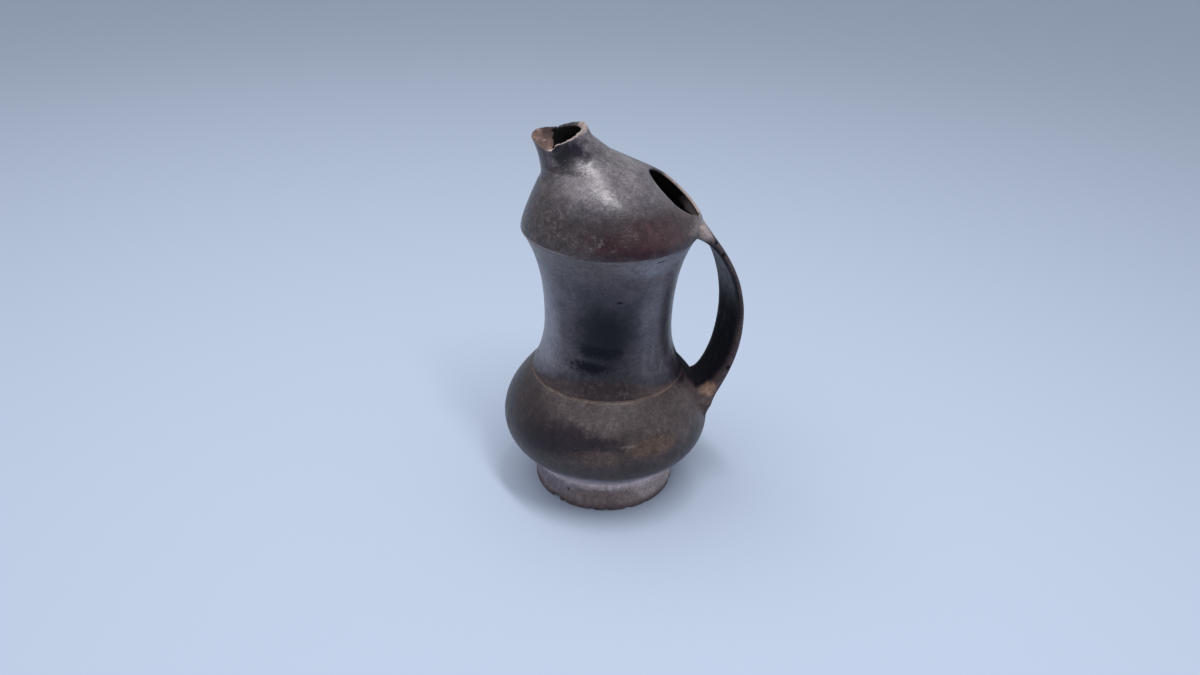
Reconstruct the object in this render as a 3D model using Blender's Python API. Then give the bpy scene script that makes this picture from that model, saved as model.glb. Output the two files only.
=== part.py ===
"""Spouted jug of black burnished pottery.

The jug is put together from separately shaped clay pieces: a ring foot, a base slab, a round belly,
a waisted neck, a hood drawn forward into a beaked spout, and a strap handle. Lapped and butted seams
join them, each backed by a coil of luting clay. Lengths are in metres, +Z is up, the spout points
along -X and the handle along +X.
"""
import math
from collections import namedtuple

import bmesh
import bpy
from mathutils import Matrix, Vector

# A place on the turned outline: lean is the outline's slope from upright, in degrees, outward positive.
Station = namedtuple("Station", "radius height lean")
# A tilted oval of the hood or spout: its centre forward of the axis, and its height above the neck.
Ring = namedtuple("Ring", "forward height half_length half_width tilt")
# A fired clay surface.
Clay = namedtuple("Clay", "colour roughness")

# Clay and joints
WALL = 0.0040
JOINT_GAP = 0.0003
BODY_LAP = 0.0055
HOOD_LAP = 0.0036
SPOUT_LAP = 0.0032

# Foot ring and base slab
FOOT_RADIUS = 0.0495
FOOT_WALL = 0.0065
FOOT_EDGE_ROUND = 0.0008
BASE_RECESS = 0.0165
BASE_RADIUS = 0.0330
BASE_THICKNESS = 0.0050
BASE_LEDGE = 0.0030
BASE_LEAN = 65.0

# Belly
BELLY_RADIUS = 0.0713
BELLY_RISE = 0.0375
SHOULDER_RADIUS = 0.0518
SHOULDER_RISE = 0.0370
SHOULDER_LEAN = -42.0

# Neck and the groove round its foot
NECK_FOOT_LEAN = -30.0
WAIST_RADIUS = 0.0427
WAIST_RISE = 0.0360
NECK_TOP_RADIUS = 0.0568
NECK_TOP_RISE = 0.0655
NECK_TOP_LEAN = 30.0
GROOVE_DEPTH = 0.0008
GROOVE_WIDTH = 0.0014

# Hood: how far each oval draws in from the hood's edge, how far it moves forward and how it tilts
HOOD_OVERHANG = 0.0004
HOOD_SKIRT = 0.0022
HOOD_TONGUE = 0.0020
HOOD_EDGE_INSET = 0.0012
HOOD_EDGE_HEIGHT = 0.0055
HOOD_SHOULDER_INSET = 0.0079
HOOD_SHOULDER_FORWARD = 0.0024
HOOD_SHOULDER_HEIGHT = 0.0170
HOOD_CROWN_LENGTH_INSET = 0.0204
HOOD_CROWN_WIDTH_INSET = 0.0172
HOOD_CROWN_FORWARD = 0.0098
HOOD_CROWN_HEIGHT = 0.0315
HOOD_CROWN_TILT = 4.0

# Spout, from its root on the hood to its broken mouth
SPOUT_ROOT = Ring(forward=0.0212, height=0.0420, half_length=0.0235, half_width=0.0245, tilt=15.0)
SPOUT_THROAT = Ring(forward=0.0272, height=0.0502, half_length=0.0186, half_width=0.0165, tilt=18.0)
SPOUT_LIP = Ring(forward=0.0320, height=0.0569, half_length=0.0158, half_width=0.0132, tilt=19.0)
SPOUT_MOUTH = Ring(forward=0.0355, height=0.0617, half_length=0.0144, half_width=0.0120, tilt=17.0)
RIM_DIP = 0.0022
BEAK_LIFT = 0.0022
BEAK_ANGLE = 145.0
BEAK_SPREAD = 40.0
NOTCH_DROP = 0.0078
NOTCH_ANGLE = -107.0
NOTCH_SPREAD = 34.0

# Filler hole in the back of the hood, its edge drawn out into a lip below and on its far side
FILLER_LENGTH = 0.0450
FILLER_WIDTH = 0.0380
FILLER_RISE = 0.0245
FILLER_OFFSET = -0.0030
FILLER_BROW = 0.0030
FILLER_FAR_LIP = 0.0033
FILLER_LIP_REACH = 0.0130

# Strap handle
FINGER_GAP = 0.0383
HANDLE_WIDTH = 0.0360
HANDLE_TOP_THICKNESS = 0.0052
HANDLE_FOOT_THICKNESS = 0.0085
HANDLE_TWIST = -13.0
HANDLE_APEX_DROP = 0.0645
HANDLE_TOP_SINK = 0.0022
HANDLE_TOP_RISE = 0.0030
HANDLE_FOOT_DROP = 0.0214
HANDLE_FOOT_BURY = 0.0140
HANDLE_TOP_BURY = 0.0040

# Coils of luting clay
COIL_REACH = 0.0045
COIL_BULGE = 0.0022
COIL_EDGE = 0.0006
WAD_RADIUS = 0.0042
WAD_LENGTH = 0.0290

# Facets
SEGMENTS = 36
BODY_STEPS = 8
LAP_STEPS = 2
HOOD_STEPS = 9
SPOUT_STEPS = 4
HANDLE_STEPS = 26
STRAP_SIDES = 12
CUTTER_SEGMENTS = 28
COIL_STEPS = 3
HALVINGS = 40
MERGE_DISTANCE = 0.000003
SMOOTH_ANGLE = math.radians(35.0)

# Heights that follow from the sizes above
BELLY_HEIGHT = BASE_RECESS + BELLY_RISE
SHOULDER_HEIGHT = BELLY_HEIGHT + SHOULDER_RISE
WAIST_HEIGHT = SHOULDER_HEIGHT + WAIST_RISE
NECK_TOP_HEIGHT = WAIST_HEIGHT + NECK_TOP_RISE
HOOD_RADIUS = NECK_TOP_RADIUS + HOOD_OVERHANG
TONGUE_OUTSIDE = NECK_TOP_RADIUS - HOOD_SKIRT
TONGUE_INSIDE = TONGUE_OUTSIDE - HOOD_TONGUE

# Clays
NECK_CLAY = Clay((0.045, 0.045, 0.055), 0.35)
HOOD_CLAY = Clay((0.085, 0.078, 0.078), 0.45)
HANDLE_CLAY = Clay((0.045, 0.042, 0.046), 0.45)
BELLY_CLAY = Clay((0.070, 0.058, 0.054), 0.50)
FOOT_CLAY = Clay((0.090, 0.074, 0.070), 0.70)
SPOUT_CLAY = Clay((0.260, 0.190, 0.160), 0.65)
LUTING_CLAY = Clay((0.120, 0.085, 0.070), 0.85)


def clear_scene():
    """Remove every object of the scene the script starts in."""
    for old in list(bpy.data.objects):
        bpy.data.objects.remove(old, do_unlink=True)


def fired(name, clay):
    """The material of a piece of fired clay."""
    material = bpy.data.materials.new(name)
    material.use_nodes = True
    shader = material.node_tree.nodes["Principled BSDF"]
    shader.inputs["Base Color"].default_value = (*clay.colour, 1.0)
    shader.inputs["Roughness"].default_value = clay.roughness
    shader.inputs["Metallic"].default_value = 0.0
    return material


def add_piece(name, bm, clay, parent):
    """Turn a bmesh into a named, smooth-shaded piece under its parent."""
    bmesh.ops.recalc_face_normals(bm, faces=bm.faces)
    mesh = bpy.data.meshes.new(name)
    bm.to_mesh(mesh)
    bm.free()
    mesh.shade_smooth()
    mesh.set_sharp_from_angle(angle=SMOOTH_ANGLE)
    mesh.materials.append(fired(name, clay))
    piece = bpy.data.objects.new(name, mesh)
    piece.parent = parent
    bpy.context.collection.objects.link(piece)
    return piece


def add_cutter(name, bm, parent):
    """A shape that only trims others, shown as a wire and never rendered."""
    cutter = add_piece(name, bm, LUTING_CLAY, parent)
    cutter.hide_render = True
    cutter.display_type = "WIRE"
    return cutter


def cut(piece, *cutters):
    """Take all the cutters away from a piece in one cut."""
    cores = bpy.data.collections.new(piece.name + "_cutters")
    for cutter in cutters:
        cores.objects.link(cutter)
    trim = piece.modifiers.new("cut", "BOOLEAN")
    trim.operation = "DIFFERENCE"
    trim.solver = "EXACT"
    trim.operand_type = "COLLECTION"
    trim.collection = cores


def bend(low, high):
    """The outline between two stations: a function of 0..1 giving a point and its outward normal."""
    turn = math.radians(high.lean - low.lean)
    chord = math.hypot(high.radius - low.radius, high.height - low.height)
    pull = chord / (3.0 * math.cos(turn / 4.0) ** 2)
    start = Vector((low.radius, low.height))
    end = Vector((high.radius, high.height))
    start_lean = math.radians(low.lean)
    end_lean = math.radians(high.lean)
    start_pull = start + pull * Vector((math.sin(start_lean), math.cos(start_lean)))
    end_pull = end - pull * Vector((math.sin(end_lean), math.cos(end_lean)))

    def at(t):
        s = 1.0 - t
        point = s**3 * start + 3 * s * s * t * start_pull + 3 * s * t * t * end_pull + t**3 * end
        along = s * s * (start_pull - start) + 2 * s * t * (end_pull - start_pull)
        along += t * t * (end - end_pull)
        along.normalize()
        return point, Vector((along.y, -along.x))

    at.length = chord
    return at


def wall(curve, inset, start=0.0, end=1.0, steps=BODY_STEPS):
    """Points on a curve, moved in through the wall by inset, from one place on it to another."""
    points = []
    for k in range(steps + 1):
        point, normal = curve(start + (end - start) * k / steps)
        points.append(point - inset * normal)
    return points


def height_at(points, radius):
    """The height of a rising row of outline points at a given radius."""
    for low, high in zip(points, points[1:]):
        if low.x <= radius <= high.x:
            return low.y + (high.y - low.y) * (radius - low.x) / (high.x - low.x)
    return points[-1].y


def where(rising, target, low, high):
    """The place between low and high where a rising measure reaches its target, found by halving."""
    for _ in range(HALVINGS):
        middle = (low + high) / 2.0
        if rising(middle) < target:
            low = middle
        else:
            high = middle
    return low


def radius_at(curve, height):
    """The radius of an outline curve at a height."""
    place = where(lambda t: curve(t)[0].y, height, 0.0, 1.0)
    return curve(place)[0].x


def turned(outline, closed=True):
    """Spin an outline of (radius, height) points about the jug's axis."""
    bm = bmesh.new()
    corners = [bm.verts.new((point[0], 0.0, point[1])) for point in outline]
    ends = corners[1:] + corners[:1] if closed else corners[1:]
    edges = [bm.edges.new(pair) for pair in zip(corners, ends)]
    bmesh.ops.spin(
        bm, geom=corners + edges, cent=(0, 0, 0), axis=(0, 0, 1),
        angle=math.tau, steps=SEGMENTS, use_merge=True, use_duplicate=False)
    bmesh.ops.remove_doubles(bm, verts=bm.verts, dist=MERGE_DISTANCE)
    return bm


def joined_loops(loops, capped):
    """Skin over a row of closed loops, ending in flat caps or running back into the first loop."""
    bm = bmesh.new()
    rings = [[bm.verts.new(point) for point in loop] for loop in loops]
    nexts = rings[1:] if capped else rings[1:] + rings[:1]
    for ring, after in zip(rings, nexts):
        for k in range(len(ring)):
            n = (k + 1) % len(ring)
            bm.faces.new((ring[k], ring[n], after[n], after[k]))
    if capped:
        bm.faces.new(rings[0])
        bm.faces.new(rings[-1])
    return bm


def circle(radius, height):
    """A level ring of points about the jug's axis."""
    turns = [math.tau * k / SEGMENTS for k in range(SEGMENTS)]
    return [Vector((radius * math.cos(a), radius * math.sin(a), height)) for a in turns]


# The outline of the turned body, from the base slab to the top of the neck
UNDERSIDE = bend(
    Station(BASE_RADIUS, BASE_RECESS, BASE_LEAN),
    Station(BELLY_RADIUS, BELLY_HEIGHT, 0.0))
SHOULDER = bend(
    Station(BELLY_RADIUS, BELLY_HEIGHT, 0.0),
    Station(SHOULDER_RADIUS, SHOULDER_HEIGHT, SHOULDER_LEAN))
NECK_FOOT = bend(
    Station(SHOULDER_RADIUS, SHOULDER_HEIGHT, NECK_FOOT_LEAN),
    Station(WAIST_RADIUS, WAIST_HEIGHT, 0.0))
NECK_RISE = bend(
    Station(WAIST_RADIUS, WAIST_HEIGHT, 0.0),
    Station(NECK_TOP_RADIUS, NECK_TOP_HEIGHT, NECK_TOP_LEAN))


def belly_floor(inset):
    """Points down the inside of the belly's underside, as far as the base slab's upper face."""
    return [point for point in wall(UNDERSIDE, inset, 1.0, 0.0) if point.y > BASE_RECESS + BASE_THICKNESS]


def foot_ring(axis):
    """Ring foot whose top is shaped to the belly's underside."""
    seat = wall(UNDERSIDE, -JOINT_GAP)
    inner = FOOT_RADIUS - FOOT_WALL
    widths = [FOOT_RADIUS - FOOT_WALL * k / LAP_STEPS for k in range(LAP_STEPS + 1)]
    top = [(radius, height_at(seat, radius)) for radius in widths]
    sole = [
        (inner, FOOT_EDGE_ROUND),
        (inner + FOOT_EDGE_ROUND, 0.0),
        (FOOT_RADIUS - FOOT_EDGE_ROUND, 0.0),
        (FOOT_RADIUS, FOOT_EDGE_ROUND),
    ]
    return add_piece("foot_ring", turned(sole + top), FOOT_CLAY, axis)


def base_disc(axis):
    """Base slab, stepped to sit on the ledge in the bottom of the belly."""
    upper = BASE_RADIUS - JOINT_GAP
    lower = upper - BASE_LEDGE
    half = BASE_RECESS + BASE_THICKNESS / 2.0
    top = BASE_RECESS + BASE_THICKNESS
    outline = [
        (0.0, BASE_RECESS), (lower, BASE_RECESS), (lower, half + JOINT_GAP),
        (upper, half + JOINT_GAP), (upper, top), (0.0, top),
    ]
    return add_piece("base_disc", turned(outline, closed=False), LUTING_CLAY, axis)


def belly(axis):
    """Round belly with a ledge for the base slab and a tongue that rises inside the neck."""
    lap = BODY_LAP / NECK_FOOT.length
    tongue = (WALL + JOINT_GAP) / 2.0
    ledge = BASE_RADIUS - BASE_LEDGE
    half = BASE_RECESS + BASE_THICKNESS / 2.0
    floor = BASE_RECESS + BASE_THICKNESS
    outline = wall(UNDERSIDE, 0.0)
    outline += wall(SHOULDER, 0.0)[1:]
    outline += wall(NECK_FOOT, tongue, 0.0, lap, LAP_STEPS)
    outline += wall(NECK_FOOT, WALL, lap, 0.0, LAP_STEPS)
    outline += wall(SHOULDER, WALL, 1.0, 0.0)[:-1]
    outline += belly_floor(WALL)
    outline += [(BASE_RADIUS, floor), (BASE_RADIUS, half), (ledge, half), (ledge, BASE_RECESS)]
    return add_piece("belly", turned(outline), BELLY_CLAY, axis)


def neck(axis):
    """Waisted neck: a skirt laps the belly's tongue, and its own tongue rises inside the hood."""
    lap = BODY_LAP / NECK_FOOT.length
    gap = JOINT_GAP / NECK_FOOT.length
    groove = gap + GROOVE_WIDTH / NECK_FOOT.length
    skirt = (WALL - JOINT_GAP) / 2.0
    top = NECK_TOP_HEIGHT + HOOD_LAP
    outline = wall(NECK_FOOT, GROOVE_DEPTH, gap, gap, 1)[:1]
    outline += wall(NECK_FOOT, 0.0, groove, 1.0)
    outline += wall(NECK_RISE, 0.0)[1:]
    outline += [(TONGUE_OUTSIDE, NECK_TOP_HEIGHT), (TONGUE_OUTSIDE, top), (TONGUE_INSIDE, top)]
    outline += wall(NECK_RISE, WALL, 1.0, 0.0)
    outline += wall(NECK_FOOT, WALL, 1.0, lap + gap)[1:]
    outline += wall(NECK_FOOT, skirt, lap + gap, gap, LAP_STEPS)
    return add_piece("neck", turned(outline), NECK_CLAY, axis)


def hood_rings():
    """The ovals that the hood and spout run through, with centres given in the jug's own frame."""
    rim = Ring(0.0, JOINT_GAP, HOOD_RADIUS, HOOD_RADIUS, 0.0)
    edge_size = HOOD_RADIUS - HOOD_EDGE_INSET
    edge = Ring(0.0, HOOD_EDGE_HEIGHT, edge_size, edge_size, 0.0)
    shoulder_size = HOOD_RADIUS - HOOD_SHOULDER_INSET
    shoulder = Ring(HOOD_SHOULDER_FORWARD, HOOD_SHOULDER_HEIGHT, shoulder_size, shoulder_size, 0.0)
    crown = Ring(
        HOOD_CROWN_FORWARD, HOOD_CROWN_HEIGHT,
        HOOD_RADIUS - HOOD_CROWN_LENGTH_INSET, HOOD_RADIUS - HOOD_CROWN_WIDTH_INSET, HOOD_CROWN_TILT)
    return [rim, edge, shoulder, crown, SPOUT_ROOT, SPOUT_THROAT, SPOUT_LIP, SPOUT_MOUTH]


RINGS = hood_rings()
ROOT_RING = RINGS.index(SPOUT_ROOT)


def ring_places():
    """Distance of each oval along the middle of the hood's surface, from its rim."""
    places = [0.0]
    for low, high in zip(RINGS, RINGS[1:]):
        step = math.hypot(high.height - low.height, high.half_width - low.half_width)
        places.append(places[-1] + step)
    return places


PLACES = ring_places()
ROOT_PLACE = PLACES[ROOT_RING]
MOUTH_PLACE = PLACES[-1]


def slope_at(values, k):
    """Slope of a smooth curve through the values at oval k, from its neighbours."""
    before = max(k - 1, 0)
    after = min(k + 1, len(values) - 1)
    return (values[after] - values[before]) / (PLACES[after] - PLACES[before])


def ring_at(place):
    """The oval at any distance along the hood, on smooth curves through the given ovals."""
    k = max(i for i in range(len(RINGS) - 1) if PLACES[i] <= max(place, 0.0))
    span = PLACES[k + 1] - PLACES[k]
    t = (place - PLACES[k]) / span
    sizes = []
    for values in zip(*RINGS):
        first = values[k] * (1 + 2 * t) * (1 - t) ** 2 + span * slope_at(values, k) * t * (1 - t) ** 2
        last = values[k + 1] * t * t * (3 - 2 * t) + span * slope_at(values, k + 1) * t * t * (t - 1)
        sizes.append(first + last)
    return Ring(*sizes)


def hood_point(place, angle):
    """A point of the outer face of the hood and spout."""
    ring = ring_at(place)
    tilt = math.radians(ring.tilt)
    along = ring.half_length * math.cos(angle)
    return Vector((
        along * math.cos(tilt) - ring.forward,
        ring.half_width * math.sin(angle),
        NECK_TOP_HEIGHT + ring.height + along * math.sin(tilt)))


def hood_normal(place, angle):
    """Outward direction of the hood's face."""
    turn = math.tau / SEGMENTS
    up = hood_point(place + JOINT_GAP, angle) - hood_point(place - JOINT_GAP, angle)
    round_axis = hood_point(place, angle + turn) - hood_point(place, angle - turn)
    return round_axis.cross(up).normalized()


def filler_frame():
    """The middle of the filler hole on the hood's back, and its downslope, sideways and outward directions."""
    height = NECK_TOP_HEIGHT + FILLER_RISE
    place = where(lambda p: hood_point(p, 0.0).z, height, 0.0, ROOT_PLACE)
    outward = hood_normal(place, 0.0)
    across = Vector((0.0, 1.0, 0.0))
    return hood_point(place, 0.0) + across * FILLER_OFFSET, across.cross(outward), across, outward


FILLER_CENTRE, FILLER_DOWN, FILLER_ACROSS, FILLER_OUT = filler_frame()


def filler_lip(point):
    """How far the hood's face rises at a point, towards the lip of the filler hole."""
    offset = point - FILLER_CENTRE
    down = 2.0 * offset.dot(FILLER_DOWN) / FILLER_LENGTH
    across = 2.0 * offset.dot(FILLER_ACROSS) / FILLER_WIDTH
    reach = max(math.hypot(down, across), JOINT_GAP)
    in_front = offset.dot(FILLER_OUT) < -FILLER_LENGTH / 2.0
    nearness = 1.0 - abs(reach - 1.0) * FILLER_WIDTH / (2.0 * FILLER_LIP_REACH)
    if in_front or nearness <= 0.0:
        return 0.0
    edge = FILLER_BROW * max(down / reach, 0.0) ** 2 + FILLER_FAR_LIP * max(across / reach, 0.0) ** 2
    return edge * nearness * nearness * (3.0 - 2.0 * nearness)


def hood_loop(place, inset, drop=None):
    """A loop of points round the hood or spout, moved in through its wall, and lowered by drop."""
    loop = []
    for k in range(SEGMENTS):
        angle = math.tau * k / SEGMENTS
        here = place - drop(angle) if drop else place
        point = hood_point(here, angle)
        loop.append(point + (filler_lip(point) - inset) * hood_normal(here, angle))
    return loop


def spread(start, end, steps):
    """Even places from start to end."""
    return [start + (end - start) * k / steps for k in range(steps + 1)]


def hood_lining():
    """Loops down the inside of the hood, from the top of its tongue to just above the neck's."""
    inner_foot = PLACES[1] + WALL / 4.0
    return [hood_loop(place, WALL) for place in spread(ROOT_PLACE + SPOUT_LAP, inner_foot, HOOD_STEPS)]


def hood(axis, filler):
    """Hood: a rebate below for the neck's tongue, a tongue above for the spout, a filler hole behind."""
    half_gap = JOINT_GAP / 2.0
    rebate = TONGUE_OUTSIDE + JOINT_GAP
    ledge = NECK_TOP_HEIGHT + HOOD_LAP + JOINT_GAP
    floor = NECK_TOP_HEIGHT + JOINT_GAP
    loops = [hood_loop(place, 0.0) for place in spread(0.0, ROOT_PLACE - half_gap, HOOD_STEPS)]
    tongue = spread(ROOT_PLACE - half_gap, ROOT_PLACE + SPOUT_LAP, LAP_STEPS)
    loops += [hood_loop(place, (WALL + JOINT_GAP) / 2.0) for place in tongue]
    loops += hood_lining()
    inner_radius = loops[-1][0].x
    loops += [circle(inner_radius, ledge), circle(rebate, ledge), circle(rebate, floor)]
    piece = add_piece("hood", joined_loops(loops, capped=False), HOOD_CLAY, axis)
    cut(piece, filler)
    return piece


def bump(angle, middle, half_spread):
    """1 at a middle angle round the spout, falling away softly on both sides of it."""
    away = (math.degrees(angle) - middle + 180.0) % 360.0 - 180.0
    return math.exp(-((away / half_spread) ** 2))


def notch(angle):
    """How far the dipped and broken rim lies below the mouth's full height, at an angle round the spout."""
    dip = RIM_DIP * math.sin(angle) ** 2
    beak = BEAK_LIFT * bump(angle, BEAK_ANGLE, BEAK_SPREAD)
    return dip - beak + NOTCH_DROP * bump(angle, NOTCH_ANGLE, NOTCH_SPREAD)


def spout(axis):
    """Beaked spout: lapped over the hood's tongue, open at the top, with a broken dip in its near rim."""
    half_gap = JOINT_GAP / 2.0
    foot = ROOT_PLACE + half_gap
    ledge = ROOT_PLACE + SPOUT_LAP + JOINT_GAP

    def fading_notch(share):
        return lambda angle: share * notch(angle)

    loops = []
    for k in range(SPOUT_STEPS + 1):
        share = k / SPOUT_STEPS
        loops.append(hood_loop(foot + (MOUTH_PLACE - foot) * share, 0.0, fading_notch(share)))
    for k in range(SPOUT_STEPS, -1, -1):
        share = k / SPOUT_STEPS
        loops.append(hood_loop(ledge + (MOUTH_PLACE - ledge) * share, WALL, fading_notch(share)))
    loops += [hood_loop(place, (WALL - JOINT_GAP) / 2.0) for place in spread(ledge, foot, LAP_STEPS)]
    return add_piece("spout", joined_loops(loops, capped=False), SPOUT_CLAY, axis)


def filler_cutter(axis):
    """Oval plug that cuts the filler hole square through the back of the hood."""
    depth = FILLER_LENGTH / 2.0
    loops = []
    for side in (-depth, depth):
        loop = []
        for k in range(CUTTER_SEGMENTS):
            angle = math.tau * k / CUTTER_SEGMENTS
            down = FILLER_DOWN * math.cos(angle) * FILLER_LENGTH / 2.0
            across = FILLER_ACROSS * math.sin(angle) * FILLER_WIDTH / 2.0
            loop.append(FILLER_CENTRE + down + across + FILLER_OUT * side)
        loops.append(loop)
    return add_cutter("filler_cutter", joined_loops(loops, capped=True), axis)


def body_core(axis):
    """The solid space of the belly and neck, one joint gap larger, that trims what is luted to them."""
    rise = NECK_TOP_HEIGHT + HOOD_LAP
    outline = [(0.0, BELLY_HEIGHT - WALL), (BELLY_RADIUS + JOINT_GAP, BELLY_HEIGHT - WALL)]
    outline += wall(SHOULDER, -JOINT_GAP)
    outline += wall(NECK_FOOT, -JOINT_GAP)[1:]
    outline += wall(NECK_RISE, -JOINT_GAP)[1:]
    outline += [(NECK_TOP_RADIUS - WALL, rise), (0.0, rise)]
    return add_cutter("body_core", turned(outline, closed=False), axis)


def hood_core(axis):
    """The solid space of the hood, one joint gap larger, that trims the handle and its wad."""
    places = spread(0.0, ROOT_PLACE, HOOD_STEPS)
    below = Vector((0.0, 0.0, 2.0 * JOINT_GAP))
    loops = [[point - below for point in hood_loop(0.0, -JOINT_GAP)]]
    loops += [hood_loop(place, -JOINT_GAP) for place in places[1:]]
    return add_cutter("hood_core", joined_loops(loops, capped=True), axis)


# The middle of the strap at its outermost point and at its two roots, as (distance from the axis, height)
APEX_REACH = WAIST_RADIUS + FINGER_GAP + HANDLE_TOP_THICKNESS / 2.0
APEX = Vector((APEX_REACH, NECK_TOP_HEIGHT - HANDLE_APEX_DROP))
HANDLE_TOP = Vector((HOOD_RADIUS - HANDLE_TOP_SINK, NECK_TOP_HEIGHT + HANDLE_TOP_RISE))
HANDLE_FOOT_HEIGHT = SHOULDER_HEIGHT - HANDLE_FOOT_DROP
HANDLE_FOOT = Vector((radius_at(SHOULDER, HANDLE_FOOT_HEIGHT), HANDLE_FOOT_HEIGHT))


def handle_arc(root):
    """Radius of the arc that leaves the handle's outermost point upright and ends at a root."""
    inward = APEX.x - root.x
    rise = root.y - APEX.y
    return (inward * inward + rise * rise) / (2.0 * inward)


def handle_station(place):
    """Middle of the strap and its outward direction, by distance below the outermost point."""
    radius = handle_arc(HANDLE_FOOT if place > 0.0 else HANDLE_TOP)
    turn = place / radius
    centre = APEX.x - radius
    outward = Vector((math.cos(turn), 0.0, -math.sin(turn)))
    return Vector((centre, 0.0, APEX.y)) + radius * outward, outward


def arc_length(root):
    """Length of the strap from its outermost point to a root."""
    radius = handle_arc(root)
    return radius * math.asin(abs(root.y - APEX.y) / radius)


def strap_loop(place, grow):
    """Round-edged section of the strap, enlarged by grow on every side."""
    top = -arc_length(HANDLE_TOP)
    foot = arc_length(HANDLE_FOOT)
    share = min(max((place - top) / (foot - top), 0.0), 1.0)
    middle, outward = handle_station(place)
    across = Vector((0.0, 1.0, 0.0))
    twist = math.radians(HANDLE_TWIST) * math.sin(math.pi * share)
    wide = across * math.cos(twist) + outward * math.sin(twist)
    thick = outward * math.cos(twist) - across * math.sin(twist)
    swell = max(0.0, place) / foot
    thickness = HANDLE_TOP_THICKNESS + (HANDLE_FOOT_THICKNESS - HANDLE_TOP_THICKNESS) * min(swell, 1.0)
    loop = []
    for k in range(STRAP_SIDES):
        angle = math.tau * (k + 0.5) / STRAP_SIDES
        x = math.copysign(math.sqrt(abs(math.cos(angle))), math.cos(angle))
        y = math.copysign(math.sqrt(abs(math.sin(angle))), math.sin(angle))
        loop.append(middle + wide * x * (HANDLE_WIDTH / 2.0 + grow) + thick * y * (thickness / 2.0 + grow))
    return loop


def strap_inside(place, thickness):
    """The middle of the strap's inner face."""
    middle, outward = handle_station(place)
    return middle - outward * thickness / 2.0


def strap(grow):
    """The strap from inside the hood's wall to inside the belly's, before it is trimmed."""
    top = -arc_length(HANDLE_TOP) - HANDLE_TOP_BURY
    foot = arc_length(HANDLE_FOOT) + HANDLE_FOOT_BURY
    loops = [strap_loop(place, grow) for place in spread(top, foot, HANDLE_STEPS)]
    return joined_loops(loops, capped=True)


def handle(axis, cores):
    """Strap handle, its roots shaped to the hood and the belly."""
    piece = add_piece("handle", strap(0.0), HANDLE_CLAY, axis)
    cut(piece, *cores)
    return piece


def wad(name, middle, cutters, axis):
    """Short roll of clay across the strap, pressed into the angle between it and the body."""
    bm = bmesh.new()
    lie = Matrix.Translation(middle) @ Matrix.Rotation(math.radians(90.0), 4, "X")
    bmesh.ops.create_cone(
        bm, cap_ends=True, segments=STRAP_SIDES, radius1=WAD_RADIUS, radius2=WAD_RADIUS,
        depth=WAD_LENGTH, matrix=lie)
    piece = add_piece(name, bm, LUTING_CLAY, axis)
    cut(piece, *cutters)
    return piece


def coil_outline(seat):
    """A coil pressed on a row of seat points: flat on the seat, bulging to the seat's left."""
    steps = len(seat) - 1
    outline = list(seat)
    for k in range(steps, -1, -1):
        before = seat[max(k - 1, 0)]
        after = seat[min(k + 1, steps)]
        along = (after - before).normalized()
        lift = COIL_EDGE + COIL_BULGE * math.sin(math.pi * k / steps)
        outline.append(seat[k] + lift * Vector((-along.y, along.x)))
    return outline


def luting_coils(axis):
    """Coils of clay that back the seams of the turned body."""
    lap = BODY_LAP / NECK_FOOT.length
    reach = COIL_REACH / NECK_FOOT.length
    seam = wall(NECK_FOOT, WALL + JOINT_GAP, lap - reach, lap + reach, 2 * COIL_STEPS)
    add_piece("neck_luting", turned(coil_outline(seam)), LUTING_CLAY, axis)

    floor = BASE_RECESS + BASE_THICKNESS
    low = Vector((BASE_RADIUS, floor))
    high = belly_floor(WALL)[-1]
    up_wall = (high - low).normalized()
    off_wall = JOINT_GAP * Vector((-up_wall.y, up_wall.x))
    toe = low + Vector((-2.0 * COIL_REACH, JOINT_GAP))
    head = low + up_wall * COIL_REACH + off_wall
    crest = (toe + head) / 2.0 + Vector((0.0, COIL_BULGE))
    add_piece("base_luting", turned([toe, low + off_wall, head, crest]), LUTING_CLAY, axis)

    seat = wall(UNDERSIDE, -JOINT_GAP)
    outer = FOOT_RADIUS - FOOT_WALL - JOINT_GAP
    inner = outer - COIL_REACH
    foot_coil = [
        (outer, height_at(seat, outer) - JOINT_GAP),
        (inner, height_at(seat, inner) - JOINT_GAP),
        (outer, height_at(seat, outer) - COIL_REACH),
    ]
    add_piece("foot_luting", turned(foot_coil), LUTING_CLAY, axis)

    level = NECK_TOP_HEIGHT + HOOD_LAP
    hood_foot = hood_lining()[-1]
    hood_inside = min(math.hypot(point.x, point.y) for point in hood_foot)
    clear = min(TONGUE_INSIDE, hood_inside) - JOINT_GAP
    heights = [level - COIL_REACH / 2.0, level, min(point.z for point in hood_foot)]
    ring = [Vector((clear, height)) for height in heights]
    add_piece("hood_luting", turned(coil_outline(ring)), LUTING_CLAY, axis)


def spout_luting(axis):
    """Coil pressed round the inside of the spout's seam."""
    seam = ROOT_PLACE + SPOUT_LAP
    seat = WALL + JOINT_GAP
    places = spread(seam - COIL_REACH / 2.0, seam + COIL_REACH / 2.0, 2)
    loops = [hood_loop(place, seat) for place in places]
    loops.append(hood_loop(places[2], seat + COIL_EDGE))
    loops.append(hood_loop(places[1], seat + COIL_BULGE))
    loops.append(hood_loop(places[0], seat + COIL_EDGE))
    add_piece("spout_luting", joined_loops(loops, capped=False), LUTING_CLAY, axis)


def centre_on_origin(axis):
    """Slide the jug along X so that its box stands centred over the origin."""
    bpy.context.view_layer.update()
    pieces = [child for child in axis.children if not child.hide_render]
    across = [(piece.matrix_world @ Vector(corner)).x for piece in pieces for corner in piece.bound_box]
    axis.location.x = -(min(across) + max(across)) / 2.0


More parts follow.
